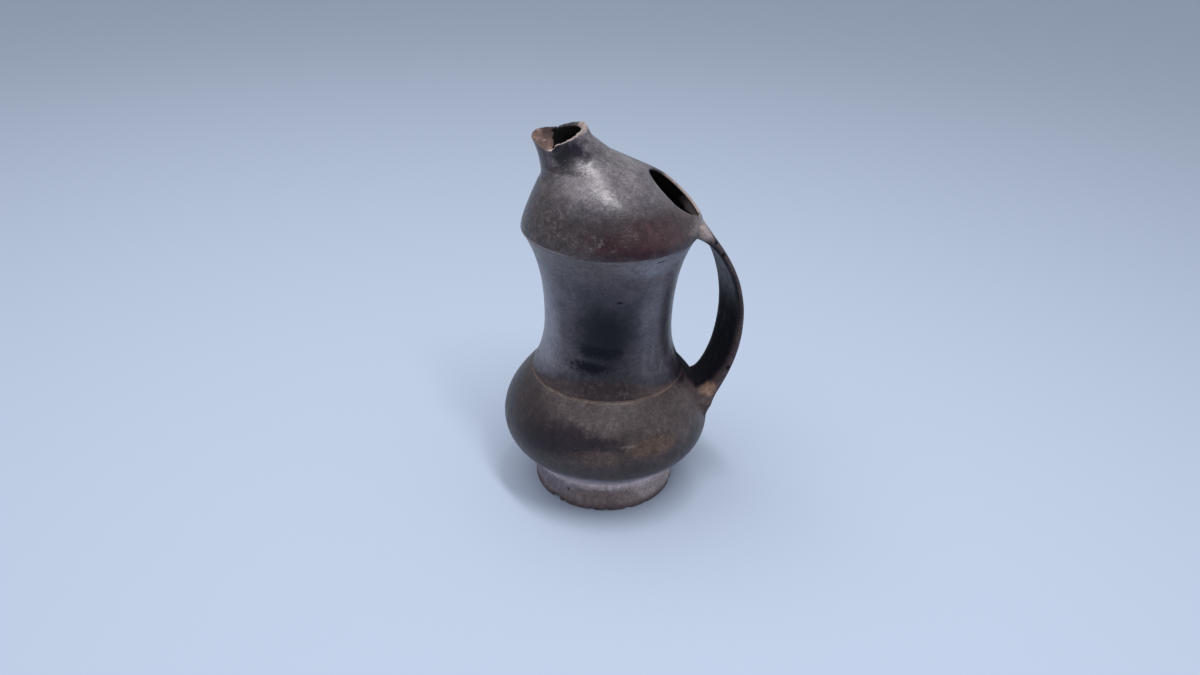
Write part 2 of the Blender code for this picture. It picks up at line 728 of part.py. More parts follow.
def main():
    clear_scene()
    axis = bpy.data.objects.new("jug_axis", None)
    bpy.context.collection.objects.link(axis)
    foot_ring(axis)
    base_disc(axis)
    belly(axis)
    neck(axis)
    hood(axis, filler_cutter(axis))
    spout(axis)
    luting_coils(axis)
    spout_luting(axis)
    cores = [hood_core(axis), body_core(axis)]
    handle(axis, cores)
    strap_core = add_cutter("strap_core", strap(JOINT_GAP), axis)
    top_place = -arc_length(HANDLE_TOP) + 2.0 * WAD_RADIUS
    wad("handle_top_luting", strap_inside(top_place, HANDLE_TOP_THICKNESS), [*cores, strap_core], axis)
    foot_place = arc_length(HANDLE_FOOT) - WAD_RADIUS
    wad("handle_foot_luting", strap_inside(foot_place, HANDLE_FOOT_THICKNESS), [*cores, strap_core], axis)
    centre_on_origin(axis)


main()
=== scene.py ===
"""Looks of the spouted jug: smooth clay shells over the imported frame, burnished, stained and worn.

Lengths are in metres and angles in degrees. Pieces are modelled about the jug's own axis, +Z up, with
the spout along -X and the handle along +X. Azimuth 0 is the handle's side and -90 the camera's.
"""
import math
from collections import namedtuple

import bmesh
import bpy
import numpy as np
from mathutils import Matrix, Vector, noise


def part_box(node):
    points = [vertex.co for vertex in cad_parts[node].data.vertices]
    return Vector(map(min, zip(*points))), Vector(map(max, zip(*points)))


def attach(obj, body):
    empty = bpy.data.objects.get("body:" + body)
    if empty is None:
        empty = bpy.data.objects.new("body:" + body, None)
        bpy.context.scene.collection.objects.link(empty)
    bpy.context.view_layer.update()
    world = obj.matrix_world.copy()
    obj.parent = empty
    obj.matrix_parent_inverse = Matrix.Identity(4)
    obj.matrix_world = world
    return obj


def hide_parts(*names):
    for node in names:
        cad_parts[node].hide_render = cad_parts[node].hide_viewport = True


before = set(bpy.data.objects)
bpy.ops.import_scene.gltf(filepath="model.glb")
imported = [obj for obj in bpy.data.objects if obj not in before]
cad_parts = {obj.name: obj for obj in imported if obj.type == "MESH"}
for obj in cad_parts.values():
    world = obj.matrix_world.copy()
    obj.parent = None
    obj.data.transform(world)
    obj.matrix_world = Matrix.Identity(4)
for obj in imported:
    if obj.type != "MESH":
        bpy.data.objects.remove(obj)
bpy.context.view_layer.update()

# A place on the turned outline: lean is its slope from upright, outward positive.
Station = namedtuple("Station", "radius height lean")
# A tilted oval of the hood or spout: its centre forward of the axis, its height above the neck.
Ring = namedtuple("Ring", "forward height half_length half_width tilt")
# A bite out of the foot's lower edge.
Chip = namedtuple("Chip", "azimuth width height depth")

ACROSS = np.array((0.0, 1.0, 0.0))
UP = np.array((0.0, 0.0, 1.0))

# Sizes that the frame gives
FOOT_LOW, FOOT_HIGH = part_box("foot_ring")
BELLY_LOW, BELLY_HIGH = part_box("belly")
NECK_LOW, NECK_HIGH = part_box("neck")
HOOD_LOW, HOOD_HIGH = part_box("hood")
BASE_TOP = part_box("base_disc")[1].z
AXIS_X = (BELLY_LOW.x + BELLY_HIGH.x) / 2.0
FOOT_RADIUS = (FOOT_HIGH.y - FOOT_LOW.y) / 2.0
BELLY_RADIUS = (BELLY_HIGH.y - BELLY_LOW.y) / 2.0
NECK_TOP_RADIUS = (NECK_HIGH.y - NECK_LOW.y) / 2.0
HOOD_RADIUS = (HOOD_HIGH.y - HOOD_LOW.y) / 2.0

# Clay walls
WALL = 0.004
RIM_WALL = 0.0027
THIN_RIM = 0.001
LAP = 0.005
SEAM = 0.00006
WELD = SEAM / 10.0

# Turned outline
FOOT_WALL = 0.0065
FOOT_EDGE = 0.0009
FOOT_FILLET = 0.0022
FOOT_BURY = 0.0012
BASE_RADIUS = 0.033
BELLY_HEIGHT = 0.054
GROOVE_RADIUS = 0.0518
GROOVE_HEIGHT = 0.091
GROOVE_DEPTH = 0.0004
GROOVE_WIDTH = 0.0008
WAIST_RADIUS = 0.0427
WAIST_HEIGHT = 0.127
NECK_TOP_HEIGHT = 0.1925
UNDER_HOOD = 0.0007

# Hood and spout
HOOD_LIFT = 0.0003
HOOD_EDGE = 0.001
EDGE_RING = Ring(0.0, 0.0055, 0.056, 0.056, 0.0)
SHOULDER_RING = Ring(0.0024, 0.017, 0.0493, 0.0493, 0.0)
CROWN_RING = Ring(0.0098, 0.0315, 0.0368, 0.04, 4.0)
ROOT_RING = Ring(0.0212, 0.042, 0.0235, 0.0245, 15.0)
THROAT_RING = Ring(0.0272, 0.0502, 0.0186, 0.0165, 18.0)
LIP_RING = Ring(0.032, 0.0569, 0.0158, 0.0132, 19.0)
MOUTH_RING = Ring(0.0355, 0.0617, 0.0144, 0.012, 17.0)
# How far the worn and broken rim lies below the mouth, by angle round it from the back, in millimetres
RIM_ANGLES = (-180, -150, -138, -126, -118, -111, -104, -87, -46, -30, 0, 28, 55, 97, 120, 141, 163, 180)
RIM_DROPS = (0.0, 2.3, 4.9, 7.0, 7.5, 6.4, 4.9, 5.1, 4.6, 4.3, 3.5, 3.3, 2.9, 1.6, -0.3, -1.4, -0.4, 0.0)
RIM_SOFTENING = (-5, -2, 0, 2, 5)
MILLIMETRE = 0.001
RIM_CHIP = 0.0005
RIM_CHIP_RATE = 8.0
RIM_BULGE = 0.0006
RIM_WEAR = 0.001
REAR_BULGE = 0.001
REAR_WEAR = 0.0035
REAR_LIP = 0.0026
REAR_LIP_REACH = 0.008
# Broken plate in the beak: its jagged end, and the rim widths from which it shows and is whole
BEAK_X = -0.0364
BEAK_SLOPE = 1.2
JAG = 0.002
JAG_SIZE = 0.0045
FINE_JAG_SIZE = 0.0017
BROKEN_FROM = 0.003
BROKEN_WHOLE = 0.0072
GRIT = 0.00035
GRIT_SIZE = 0.0022

# Filler hole
FILLER_LENGTH = 0.044
FILLER_WIDTH = 0.0364
FILLER_RISE = 0.0236
FILLER_OFFSET = -0.0022
FILLER_LOW_LIP = 0.003
FILLER_FAR_LIP = 0.0035
FILLER_LIP_REACH = 0.013
FILLER_RIM = 0.0019
FILLER_BULGE = 0.0007
FILLER_UNEVEN = 0.035
FILLER_WAVES = 1.6
# Paleness of the filler hole's edge: wear, with painted light
FILLER_WEAR_AND_LIGHT = 0.45

# Strap handle
APEX = Vector((0.0836, 0.128))
HANDLE_TOP = Vector((0.055, 0.1955))
HANDLE_FOOT = Vector((0.0674, 0.0696))
HANDLE_WIDTH = 0.036
HANDLE_TOP_THICKNESS = 0.005
HANDLE_FOOT_THICKNESS = 0.0085
HANDLE_TWIST = -13.0
HANDLE_SINK = 0.0024
ROOT_BURY = 0.0013
ROOT_LENGTH = 0.0075
ROOT_FADE = 0.014
FOOT_SMEAR = 0.003
SMEAR_END = 0.002
SMEAR_SUNK = 0.008
STRAP_FILLET = 0.0042
TOP_FLARE = 0.0075
FOOT_FLARE = 0.0095
OUTER_FLARE = 0.15
TOP_SPREAD = 0.0035
FOOT_SPREAD = 0.005
END_ROUNDING = 0.0042
END_TAPER = 0.24

# Hand-made unevenness
WOBBLE = 0.00045
WOBBLE_SIZE = 0.075
STROKE = 0.0001
STROKE_SIZE = 0.011
STROKE_FLATNESS = 2.0
BODY_SEED = 5.0
LEVEL_BASE = 0.016
UNEVEN_FROM = 0.032
FOOT_SEED = 1.0
FOOT_WOBBLE = 0.6
FOOT_WEAR = 0.55
STRAP_SEED = 17.0
STRAP_WOBBLE = 0.8
CHIP_LIFT = 0.5
CHIPS = (
    Chip(-137, 3.6, 0.003, 0.0019), Chip(-128, 2.0, 0.0014, 0.0009), Chip(-104, 2.2, 0.0012, 0.001),
    Chip(-92, 1.6, 0.001, 0.0008), Chip(-74, 2.4, 0.0015, 0.001), Chip(-58, 1.5, 0.001, 0.0007),
    Chip(-20, 3.0, 0.0018, 0.0012), Chip(35, 2.0, 0.0012, 0.0009), Chip(88, 3.4, 0.002, 0.0013),
    Chip(140, 2.4, 0.0014, 0.001), Chip(171, 1.8, 0.001, 0.0008),
)

# Facets
SEGMENTS = 240
ANGLES = np.linspace(0.0, math.tau, SEGMENTS, endpoint=False)
ROW = 0.0013
INNER_ROW = 2.0 * ROW
EDGE_ROWS = 6
SIDE_ROWS = 16
FILLET_ROWS = 7
DROP_ROWS = 12
BASE_ROWS = 20
MOUTH_ROWS = 9
CURVE_SAMPLES = 60
UNDERSIDE_SAMPLES = 80
RIDGE_SAMPLES = 200
FILLER_SAMPLES = 400
STRAP_SIDES = 72
HANDLE_ROWS = 150
SMOOTH_ANGLE = math.radians(48.0)

# Stage
FLOOR_RADIUS = 8.0
FLOOR_SEGMENTS = 96
FLOOR_COLOUR = (0.48, 0.55, 0.68)
SKY_COLOUR = (0.88, 0.93, 1.0)
SKY_STRENGTH = 0.56
LENS = 27.0
SENSOR = 36.0
CAMERA_DISTANCE = 0.536
CAMERA_HEIGHT = 0.4106
CAMERA_PITCH = 29.269
CAMERA_ROLL = 1.3286
CAMERA_YAW = -0.5297
CAMERA_TURN = -5.0


def bend(low, high):
    """The outline between two stations: a function of 0..1 giving points and outward normals."""
    turn = math.radians(high.lean - low.lean)
    chord = math.hypot(high.radius - low.radius, high.height - low.height)
    pull = chord / (3.0 * math.cos(turn / 4.0) ** 2)
    leans = np.radians((low.lean, high.lean))
    first, last = np.stack((np.sin(leans), np.cos(leans)), axis=1)
    start = np.array((low.radius, low.height))
    end = np.array((high.radius, high.height))
    near = start + pull * first
    far = end - pull * last

    def at(t):
        t = np.atleast_1d(t)[:, None]
        s = 1.0 - t
        points = s**3 * start + 3 * s * s * t * near + 3 * s * t * t * far + t**3 * end
        along = s * s * (near - start) + 2 * s * t * (far - near) + t * t * (end - far)
        along /= np.linalg.norm(along, axis=1)[:, None]
        return points, np.stack((along[:, 1], -along[:, 0]), axis=1)

    at.length = chord
    return at


UNDERSIDE = bend(Station(BASE_RADIUS, BELLY_LOW.z, 65.0), Station(BELLY_RADIUS, BELLY_HEIGHT, 0.0))
SHOULDER = bend(Station(BELLY_RADIUS, BELLY_HEIGHT, 0.0), Station(GROOVE_RADIUS, GROOVE_HEIGHT, -42.0))
NECK_FOOT = bend(Station(GROOVE_RADIUS, GROOVE_HEIGHT, -30.0), Station(WAIST_RADIUS, WAIST_HEIGHT, 0.0))
NECK_RISE = bend(Station(WAIST_RADIUS, WAIST_HEIGHT, 0.0), Station(NECK_TOP_RADIUS, NECK_TOP_HEIGHT, 30.0))


def stretch(curve, inset=0.0, start=0.0, end=1.0, row=ROW):
    """Rows of an outline curve, moved in through the wall, from one place on it to another."""
    count = max(2, round(abs(end - start) * curve.length / row) + 1)
    points, normals = curve(np.linspace(start, end, count))
    return points - inset * normals


def rows_at(radii, heights):
    """Rows of an outline; a single radius or height holds for all."""
    return np.stack(np.broadcast_arrays(radii, heights), axis=1)


def one_row(curve, inset, place):
    """One row of an outline curve, moved in through the wall."""
    return stretch(curve, inset, place, place)[:1]


def smooth_step(low, high, value):
    """0 below low, 1 above high, and a soft rise between."""
    t = np.clip((value - low) / (high - low), 0.0, 1.0)
    return t * t * (3.0 - 2.0 * t)


def wrapped(turns):
    """Angles brought between -180 and 180."""
    return (turns + 180.0) % 360.0 - 180.0


def turned(outline):
    """Loops of points round the axis, one for each (radius, height) point of an outline."""
    radius = outline[:, 0][:, None]
    height = np.repeat(outline[:, 1][:, None], SEGMENTS, axis=1)
    return np.stack((radius * np.cos(ANGLES), radius * np.sin(ANGLES), height), axis=2)


def uneven(loops, seed, share):
    """Loops moved in and out by hand-made wobble and burnishing strokes, by a share for each row."""
    moved = loops.copy()
    offset = Vector((seed, seed, seed))
    for row, amount in zip(moved, share):
        if amount == 0.0:
            continue
        for k, (x, y, z) in enumerate(row):
            wide = noise.noise(Vector((x, y, z)) / WOBBLE_SIZE + offset)
            fine = noise.noise(Vector((x, y, z * STROKE_FLATNESS)) / STROKE_SIZE + offset)
            reach = max(math.hypot(x, y), WALL)
            push = 1.0 + amount * (WOBBLE * wide + STROKE * fine) / reach
            row[k] = (x * push, y * push, z)
    return moved


def loop_faces(rows, columns, closed):
    """Quads of a grid whose columns run round, and whose rows run back to the first if closed."""
    faces = []
    for i in range(rows if closed else rows - 1):
        n = (i + 1) % rows
        for j in range(columns):
            k = (j + 1) % columns
            faces.append((i * columns + j, i * columns + k, n * columns + k, n * columns + j))
    return faces


def add_object(name, data):
    """A new object in the scene."""
    made = bpy.data.objects.new(name, data)
    bpy.context.scene.collection.objects.link(made)
    return made


def make_piece(name, points, faces, layers, material, slot, *nodes):
    """A smooth piece about the jug's axis, with float layers on its points, that stands for nodes."""
    mesh = bpy.data.meshes.new(name)
    mesh.from_pydata(points.reshape(-1, 3), [], faces)
    for layer, values in layers.items():
        data = mesh.attributes.new(layer, "FLOAT", "POINT").data
        data.foreach_set("value", np.ravel(values).astype(np.float32))
    bm = bmesh.new()
    bm.from_mesh(mesh)
    loose = [vertex for vertex in bm.verts if not vertex.link_faces]
    bmesh.ops.delete(bm, geom=loose, context="VERTS")
    bmesh.ops.remove_doubles(bm, verts=bm.verts, dist=WELD)
    bmesh.ops.recalc_face_normals(bm, faces=bm.faces)
    bm.to_mesh(mesh)
    bm.free()
    mesh.shade_smooth()
    mesh.set_sharp_from_angle(angle=SMOOTH_ANGLE)
    mesh.materials.append(material)
    piece = add_object(name, mesh)
    piece.location.x = AXIS_X
    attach(piece, "root")
    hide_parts(*nodes)


class Clay:
    """A fired clay surface, built up in layers of colour, gloss and relief."""

    def __init__(self, name, colour, roughness, specular):
        self.material = bpy.data.materials.new(name)
        self.material.use_nodes = True
        self.nodes = self.material.node_tree.nodes
        self.shader = self.nodes["Principled BSDF"]
        self.shader.inputs["Specular IOR Level"].default_value = specular
        self.place = self.nodes.new("ShaderNodeTexCoord").outputs["Object"]
        self.colour = colour
        self.roughness = roughness
        self.height = None

    def put(self, socket, value):
        """Set a socket to a number, a colour or another socket."""
        if isinstance(value, bpy.types.NodeSocket):
            self.material.node_tree.links.new(value, socket)
        elif isinstance(value, tuple) and socket.type == "RGBA":
            socket.default_value = (*value, 1.0)
        else:
            socket.default_value = value

    def add(self, kind, *values, output=None, **settings):
        """Add a node with its settings and inputs, and give the named output or the first in use."""
        node = self.nodes.new("ShaderNode" + kind)
        for name, setting in settings.items():
            setattr(node, name, setting)
        for socket, value in zip([socket for socket in node.inputs if socket.enabled], values):
            self.put(socket, value)
        if output:
            return node.outputs[output]
        return next(socket for socket in node.outputs if socket.enabled)

    def math(self, operation, *values):
        return self.add("Math", *values, operation=operation)

    def vector(self, operation, *values):
        return self.add("VectorMath", *values, operation=operation)

    def noise(self, size, seed=0.0, detail=4.0, grain=(1.0, 1.0, 1.0), rough=0.55):
        """Noise from 0 to 1 of a feature size; grain above 1 along an axis makes it finer there."""
        place = self.vector("MULTIPLY", self.place, grain)
        place = self.vector("ADD", place, (seed, seed, seed))
        return self.add("TexNoise", place, 1.0 / size, detail, rough, output="Fac")

    def rise(self, value, low, high):
        """0 where a value is at low, 1 where it is at high, with a soft step between."""
        return self.add("MapRange", value, low, high, interpolation_type="SMOOTHSTEP")

    def layer(self, name):
        """A float layer of the mesh."""
        return self.add("Attribute", output="Fac", attribute_name=name)

    def axis(self, name):
        return self.add("SeparateXYZ", self.place, output=name)

    def ragged(self, value, size, amount, seed=0.0):
        """A value made uneven by noise."""
        uneven_part = self.math("MULTIPLY_ADD", self.noise(size, seed), 2.0 * amount, -amount)
        return self.math("ADD", value, uneven_part)

    def spot(self, centre, reach, ragged=0.5, seed=0.0, soft=0.5, grain=0.6):
        """A soft patch about a centre, with its reach along X, Y and Z."""
        offset = self.vector("SUBTRACT", self.place, centre)
        offset = self.vector("DIVIDE", offset, reach)
        away = self.vector("LENGTH", offset)
        away = self.ragged(away, grain * min(reach), ragged, seed)
        return self.math("SUBTRACT", 1.0, self.rise(away, 1.0 - soft, 1.0 + soft))

    def patch(self, azimuth, radius, height, reach, tall, ragged=0.5, seed=0.0, soft=0.5):
        """A soft patch on the jug's side, by its middle's place and its reach round and up."""
        turn = math.radians(azimuth)
        centre = (radius * math.cos(turn), radius * math.sin(turn), height)
        return self.spot(centre, (reach, reach, tall), ragged, seed, soft)

    def below(self, height, soft, ragged=0.0, size=0.02, seed=0.0, level=None):
        """1 below a height, 0 above it, by a level that is the point's own height unless given."""
        if level is None:
            level = self.axis("Z")
        if ragged:
            level = self.ragged(level, size, ragged, seed)
        return self.math("SUBTRACT", 1.0, self.rise(level, height - soft, height + soft))

    def line(self, height, width, ragged, seed, grain=0.03, core=0.4):
        """A thin level line."""
        level = self.ragged(self.axis("Z"), grain, ragged, seed)
        away = self.math("ABSOLUTE", self.math("SUBTRACT", level, height))
        return self.math("SUBTRACT", 1.0, self.rise(away, core * width, width))

    def both(self, *masks):
        made = masks[0]
        for mask in masks[1:]:
            made = self.math("MULTIPLY", made, mask)
        return made

    def mix(self, kind, mask, low, high, blend="MIX"):
        return self.add("Mix", mask, low, high, data_type=kind, blend_type=blend)

    def tint(self, mask, colour, amount=1.0):
        """Lay a colour where a mask is set."""
        if amount != 1.0:
            mask = self.math("MULTIPLY", mask, amount)
        self.colour = self.mix("RGBA", mask, self.colour, colour)

    def lay(self, shape, *rows):
        """Lay colours in soft spots or patches: rows of a colour, an amount and what the shape takes."""
        for colour, amount, *place in rows:
            self.tint(shape(*place), colour, amount)

    def shade(self, value, dark, bright, low=0.3, high=0.7):
        """Darken and brighten the colour so far by a noise."""
        shading = self.add("MapRange", value, low, high, dark, bright)
        self.colour = self.mix("RGBA", 1.0, self.colour, shading, "MULTIPLY")

    def gloss(self, mask, roughness):
        """Change the polish where a mask is set."""
        self.roughness = self.mix("FLOAT", mask, self.roughness, roughness)

    def relief(self, value, depth):
        """Add a height, in metres, to the surface's fine relief."""
        lift = self.math("MULTIPLY", value, depth)
        self.height = lift if self.height is None else self.math("ADD", self.height, lift)

    def done(self):
        self.put(self.shader.inputs["Base Color"], self.colour)
        self.put(self.shader.inputs["Roughness"], self.roughness)
        if self.height is not None:
            bump = self.nodes.new("ShaderNodeBump")
            bump.inputs["Distance"].default_value = 1.0
            self.put(bump.inputs["Height"], self.height)
            self.put(self.shader.inputs["Normal"], bump.outputs["Normal"])
        return self.material


# Clay colours
# Near black: painted shade inside the jug, and a tiny dark spot on the foot
DEEP_BLACK = (0.005, 0.005, 0.006)
JET = (0.001, 0.001, 0.006)
BLUE_BLACK = (0.012, 0.012, 0.018)
PURPLE_BLACK = (0.014, 0.008, 0.014)
STAIN = (0.004, 0.001, 0.009)
SLATE = (0.112, 0.101, 0.12)
ASH = (0.125, 0.11, 0.112)
GREY = (0.092, 0.078, 0.09)
PALE_GREY = (0.15, 0.14, 0.148)
LILAC_GREY = (0.138, 0.118, 0.136)
LILAC = (0.2, 0.178, 0.215)
PALE_LILAC = (0.37, 0.32, 0.375)
# Blue grey for painted reflections on the neck
REFLECTED_BLUE = (0.23, 0.232, 0.275)
# Pale clay for painted highlights on the hood, partly abraded burnish
ABRASION_AND_HIGHLIGHT = (0.27, 0.235, 0.262)
DARK_BROWN = (0.028, 0.019, 0.021)
BROWN = (0.048, 0.034, 0.036)
SIDE_BROWN = (0.054, 0.038, 0.041)
LOW_FOOT_BROWN = (0.056, 0.039, 0.041)
GREY_BROWN = (0.084, 0.064, 0.064)
FOOT_BROWN = (0.198, 0.148, 0.144)
RED_BROWN = (0.02, 0.002, 0.006)
DEEP_RED = (0.022, 0.007, 0.007)
DULL_RED = (0.052, 0.029, 0.033)
OCHRE = (0.098, 0.06, 0.041)
ORANGE_CLAY = (0.36, 0.215, 0.15)
PINK_CLAY = (0.185, 0.115, 0.1)
PALE_CLAY = (0.4, 0.31, 0.29)
SMEAR_CLAY = (0.27, 0.22, 0.215)
LIT_WALL_CLAY = (0.42, 0.345, 0.335)
GROOVE_CLAY = (0.205, 0.138, 0.116)
BEAK_CLAY = (0.088, 0.05, 0.042)
BROKEN_CLAY = (0.33, 0.215, 0.19)
DUSTY_CLAY = (0.4, 0.33, 0.325)
FOOT_TOP_LIGHT = (0.54, 0.45, 0.462)
FRECKLE = (0.15, 0.125, 0.125)
FLECK = (0.3, 0.27, 0.265)

# Sizes of the features in weathered clay
MOTTLE_SIZE = 0.024
BLOTCH_SIZE = 0.0085
FINE_SIZE = 0.004
DUST_SIZE = 0.0014
SCRATCH_SIZE = 0.012
SCRATCH_GRAIN = (1.0, 1.0, 12.0)
SPECK_SIZE = 0.0019

# Rubbed clay shared by the belly and the handle's foot
ORANGE_PLACE = (0.069, -0.02, 0.079)
ORANGE_REACH = (0.0055, 0.006, 0.0048)

# Bright streak down the hood: a painted highlight, with its burnish partly abraded to pale specks
STREAK_PLACES = ((-0.0178, -0.0192, 0.2402), (-0.0103, -0.0324, 0.2299), (-0.0055, -0.0383, 0.2254))

# Dark knocks on the strap's near edge
KNOCK_PLACES = ((0.0654, -0.0172, 0.1877), (0.0707, -0.017, 0.179), (0.0813, -0.0176, 0.0958))


def weathered(clay, seed, contrast, flecks, dull, grain=(1.0, 1.0, 1.0)):
    """Layers that every old clay surface here shares: mottling, grain, scratches and pale flecks."""
    mottle = clay.noise(MOTTLE_SIZE, seed, detail=6, grain=grain, rough=0.62)
    blotch = clay.noise(BLOTCH_SIZE, seed + 2, detail=5, grain=grain, rough=0.68)
    fine = clay.noise(FINE_SIZE, seed + 3, detail=5, grain=grain, rough=0.7)
    dust = clay.noise(DUST_SIZE, seed + 5, detail=3)
    scratch = clay.noise(SCRATCH_SIZE, seed + 7, detail=3, grain=SCRATCH_GRAIN)
    speck = clay.noise(SPECK_SIZE, seed + 11, detail=2)
    for layer, weight in ((mottle, 0.75), (blotch, 0.7), (fine, 1.1), (dust, 1.0)):
        clay.shade(layer, 1.0 - weight * contrast, 1.0 + weight * contrast)
    clay.tint(clay.rise(scratch, 0.64, 0.76), FLECK, 0.12 * contrast)
    clay.tint(clay.rise(speck, 0.71, 0.77), FLECK, flecks)
    clay.gloss(clay.rise(blotch, 0.48, 0.72), dull)
    clay.gloss(clay.rise(dust, 0.6, 0.74), dull + 0.08)
    for layer, depth in ((blotch, 0.00016), (fine, 0.00014), (scratch, 0.00006), (dust, 0.00006)):
        clay.relief(layer, depth)


def painted_inside_shade(clay):
    """The unlit inside of the jug: painted shade, near black and dull."""
    inside = clay.layer("inside")
    clay.tint(inside, DEEP_BLACK)
    clay.gloss(inside, 0.85)


def worn(clay, colour, amount):
    """Edges rubbed back to paler clay, by the wear layer; on the hood that layer also holds painted
    highlights along its lower edge and the filler hole's far edge.
    """
    rub = clay.ragged(clay.layer("wear"), 0.006, 0.35, 5.0)
    rub = clay.rise(rub, 0.45, 0.85)
    clay.tint(rub, colour, amount)
    dirt = clay.rise(clay.noise(0.0026, seed=63, detail=5), 0.46, 0.68)
    clay.tint(clay.both(rub, dirt), GREY_BROWN, 0.45 * amount)
    clay.gloss(rub, 0.7)


def groove_line(clay):
    """The incised line round the neck's foot, with a pale line along it: painted highlight and rubbed clay,
    faint on the handle's side.
    """
    line = clay.line(GROOVE_HEIGHT + 0.0001, width=0.00085, ragged=0.0002, seed=2)
    fade = clay.rise(clay.axis("X"), 0.05, 0.034)
    broken = clay.rise(clay.noise(0.016, seed=21, detail=3), 0.26, 0.46)
    clay.tint(clay.both(line, fade, broken), GROOVE_CLAY, 0.7)
    clay.gloss(line, 0.8)


def foot_clay():
    clay = Clay("foot_clay", FOOT_BROWN, roughness=0.62, specular=0.35)
    clay.lay(
        clay.patch,
        (DUSTY_CLAY, 0.8, -35, FOOT_RADIUS, 0.015, 0.03, 0.012, 0.7, 1),
        (LILAC, 0.8, -150, FOOT_RADIUS, 0.017, 0.025, 0.01, 0.7, 2),
    )
    # Pale band round the foot's top, under the belly: painted light and reflection from the floor
    level = clay.ragged(clay.axis("Z"), 0.012, 0.0012, 4.0)
    clay.tint(clay.rise(level, FOOT_HIGH.z - 0.0085, FOOT_HIGH.z - 0.003), FOOT_TOP_LIGHT, 0.8)
    # Darker towards the foot's bottom edge
    clay.tint(clay.below(0.0045, soft=0.0038, ragged=0.0026, size=0.007, seed=2), LOW_FOOT_BROWN, 0.75)
    clay.lay(
        clay.patch,
        (PINK_CLAY, 0.25, -85, FOOT_RADIUS, 0.011, 0.02, 0.005, 0.8, 3),
        (DEEP_BLACK, 1.0, -124.1, FOOT_RADIUS, 0.0136, 0.001, 0.0008, 0.1),
    )
    worn(clay, PINK_CLAY, 0.3)
    weathered(clay, seed=1, contrast=0.26, flecks=0.25, dull=0.7)
    # The foot ring's hidden inner wall: painted shade in dark brown
    clay.tint(clay.layer("inside"), DARK_BROWN, 0.8)
    return clay.done()


def belly_clay():
    clay = Clay("belly_clay", BROWN, roughness=0.38, specular=0.3)
    clay.tint(clay.rise(clay.noise(0.045, seed=3), 0.44, 0.62), GREY_BROWN, 0.75)
    clay.tint(clay.rise(clay.noise(0.04, seed=8), 0.5, 0.66), DARK_BROWN, 0.7)
    # Darker towards the bottom; the dark brown patches at -165 and -150 degrees on the left are painted
    # shade of the unlit side
    clay.tint(clay.below(0.056, soft=0.016, ragged=0.01, size=0.03, seed=6), DARK_BROWN, 0.9)
    clay.lay(
        clay.patch,
        (DARK_BROWN, 0.8, -165, 0.066, 0.072, 0.04, 0.02, 0.7, 14),
        (GREY_BROWN, 0.75, -88, 0.057, 0.084, 0.04, 0.0095, 0.8, 6),
        (GREY_BROWN, 0.8, -40, 0.064, 0.074, 0.032, 0.014, 0.7, 8),
        (DARK_BROWN, 0.6, -150, 0.064, 0.074, 0.024, 0.011, 0.7, 9),
        (PURPLE_BLACK, 0.95, -116, 0.067, 0.068, 0.026, 0.0095, 0.8, 1),
        (PURPLE_BLACK, 0.8, -132, 0.069, 0.062, 0.022, 0.006, 0.8, 10),
        (PURPLE_BLACK, 0.7, -96, 0.068, 0.069, 0.014, 0.004, 0.9, 11),
        (OCHRE, 0.8, -67, 0.069, 0.064, 0.016, 0.006, 0.8, 3),
        (OCHRE, 0.4, -97, 0.07, 0.06, 0.018, 0.0045, 0.9, 4),
        (PALE_CLAY, 0.18, -82, 0.068, 0.0675, 0.0046, 0.001, 0.9, 5),
    )
    clay.lay(clay.spot, (ORANGE_CLAY, 0.75, ORANGE_PLACE, ORANGE_REACH, 0.6, 2))
    # Purple black on the belly's top between the neck and the handle's foot: painted shade
    shade = clay.spot((0.054, -0.008, 0.09), (0.016, 0.019, 0.01), soft=0.4, ragged=0.4, seed=13)
    clay.tint(clay.both(shade, clay.rise(clay.axis("Z"), 0.086, 0.0885)), PURPLE_BLACK, 0.85)
    # Near black in the corner behind the handle's foot: painted shade
    corner_shade = clay.spot((0.0585, 0.0, 0.0865), (0.017, 0.015, 0.0135), soft=0.4, ragged=0.6, seed=12)
    clay.tint(corner_shade, JET)
    # Pale lilac on the belly's underside: painted reflection of the floor
    clay.tint(clay.below(0.038, soft=0.005, ragged=0.0016, size=0.02, seed=9), PALE_LILAC, 0.8)
    groove_line(clay)
    weathered(clay, seed=5, contrast=0.3, flecks=0.22, dull=0.55)
    clay.gloss(corner_shade, 0.95)
    painted_inside_shade(clay)
    return clay.done()


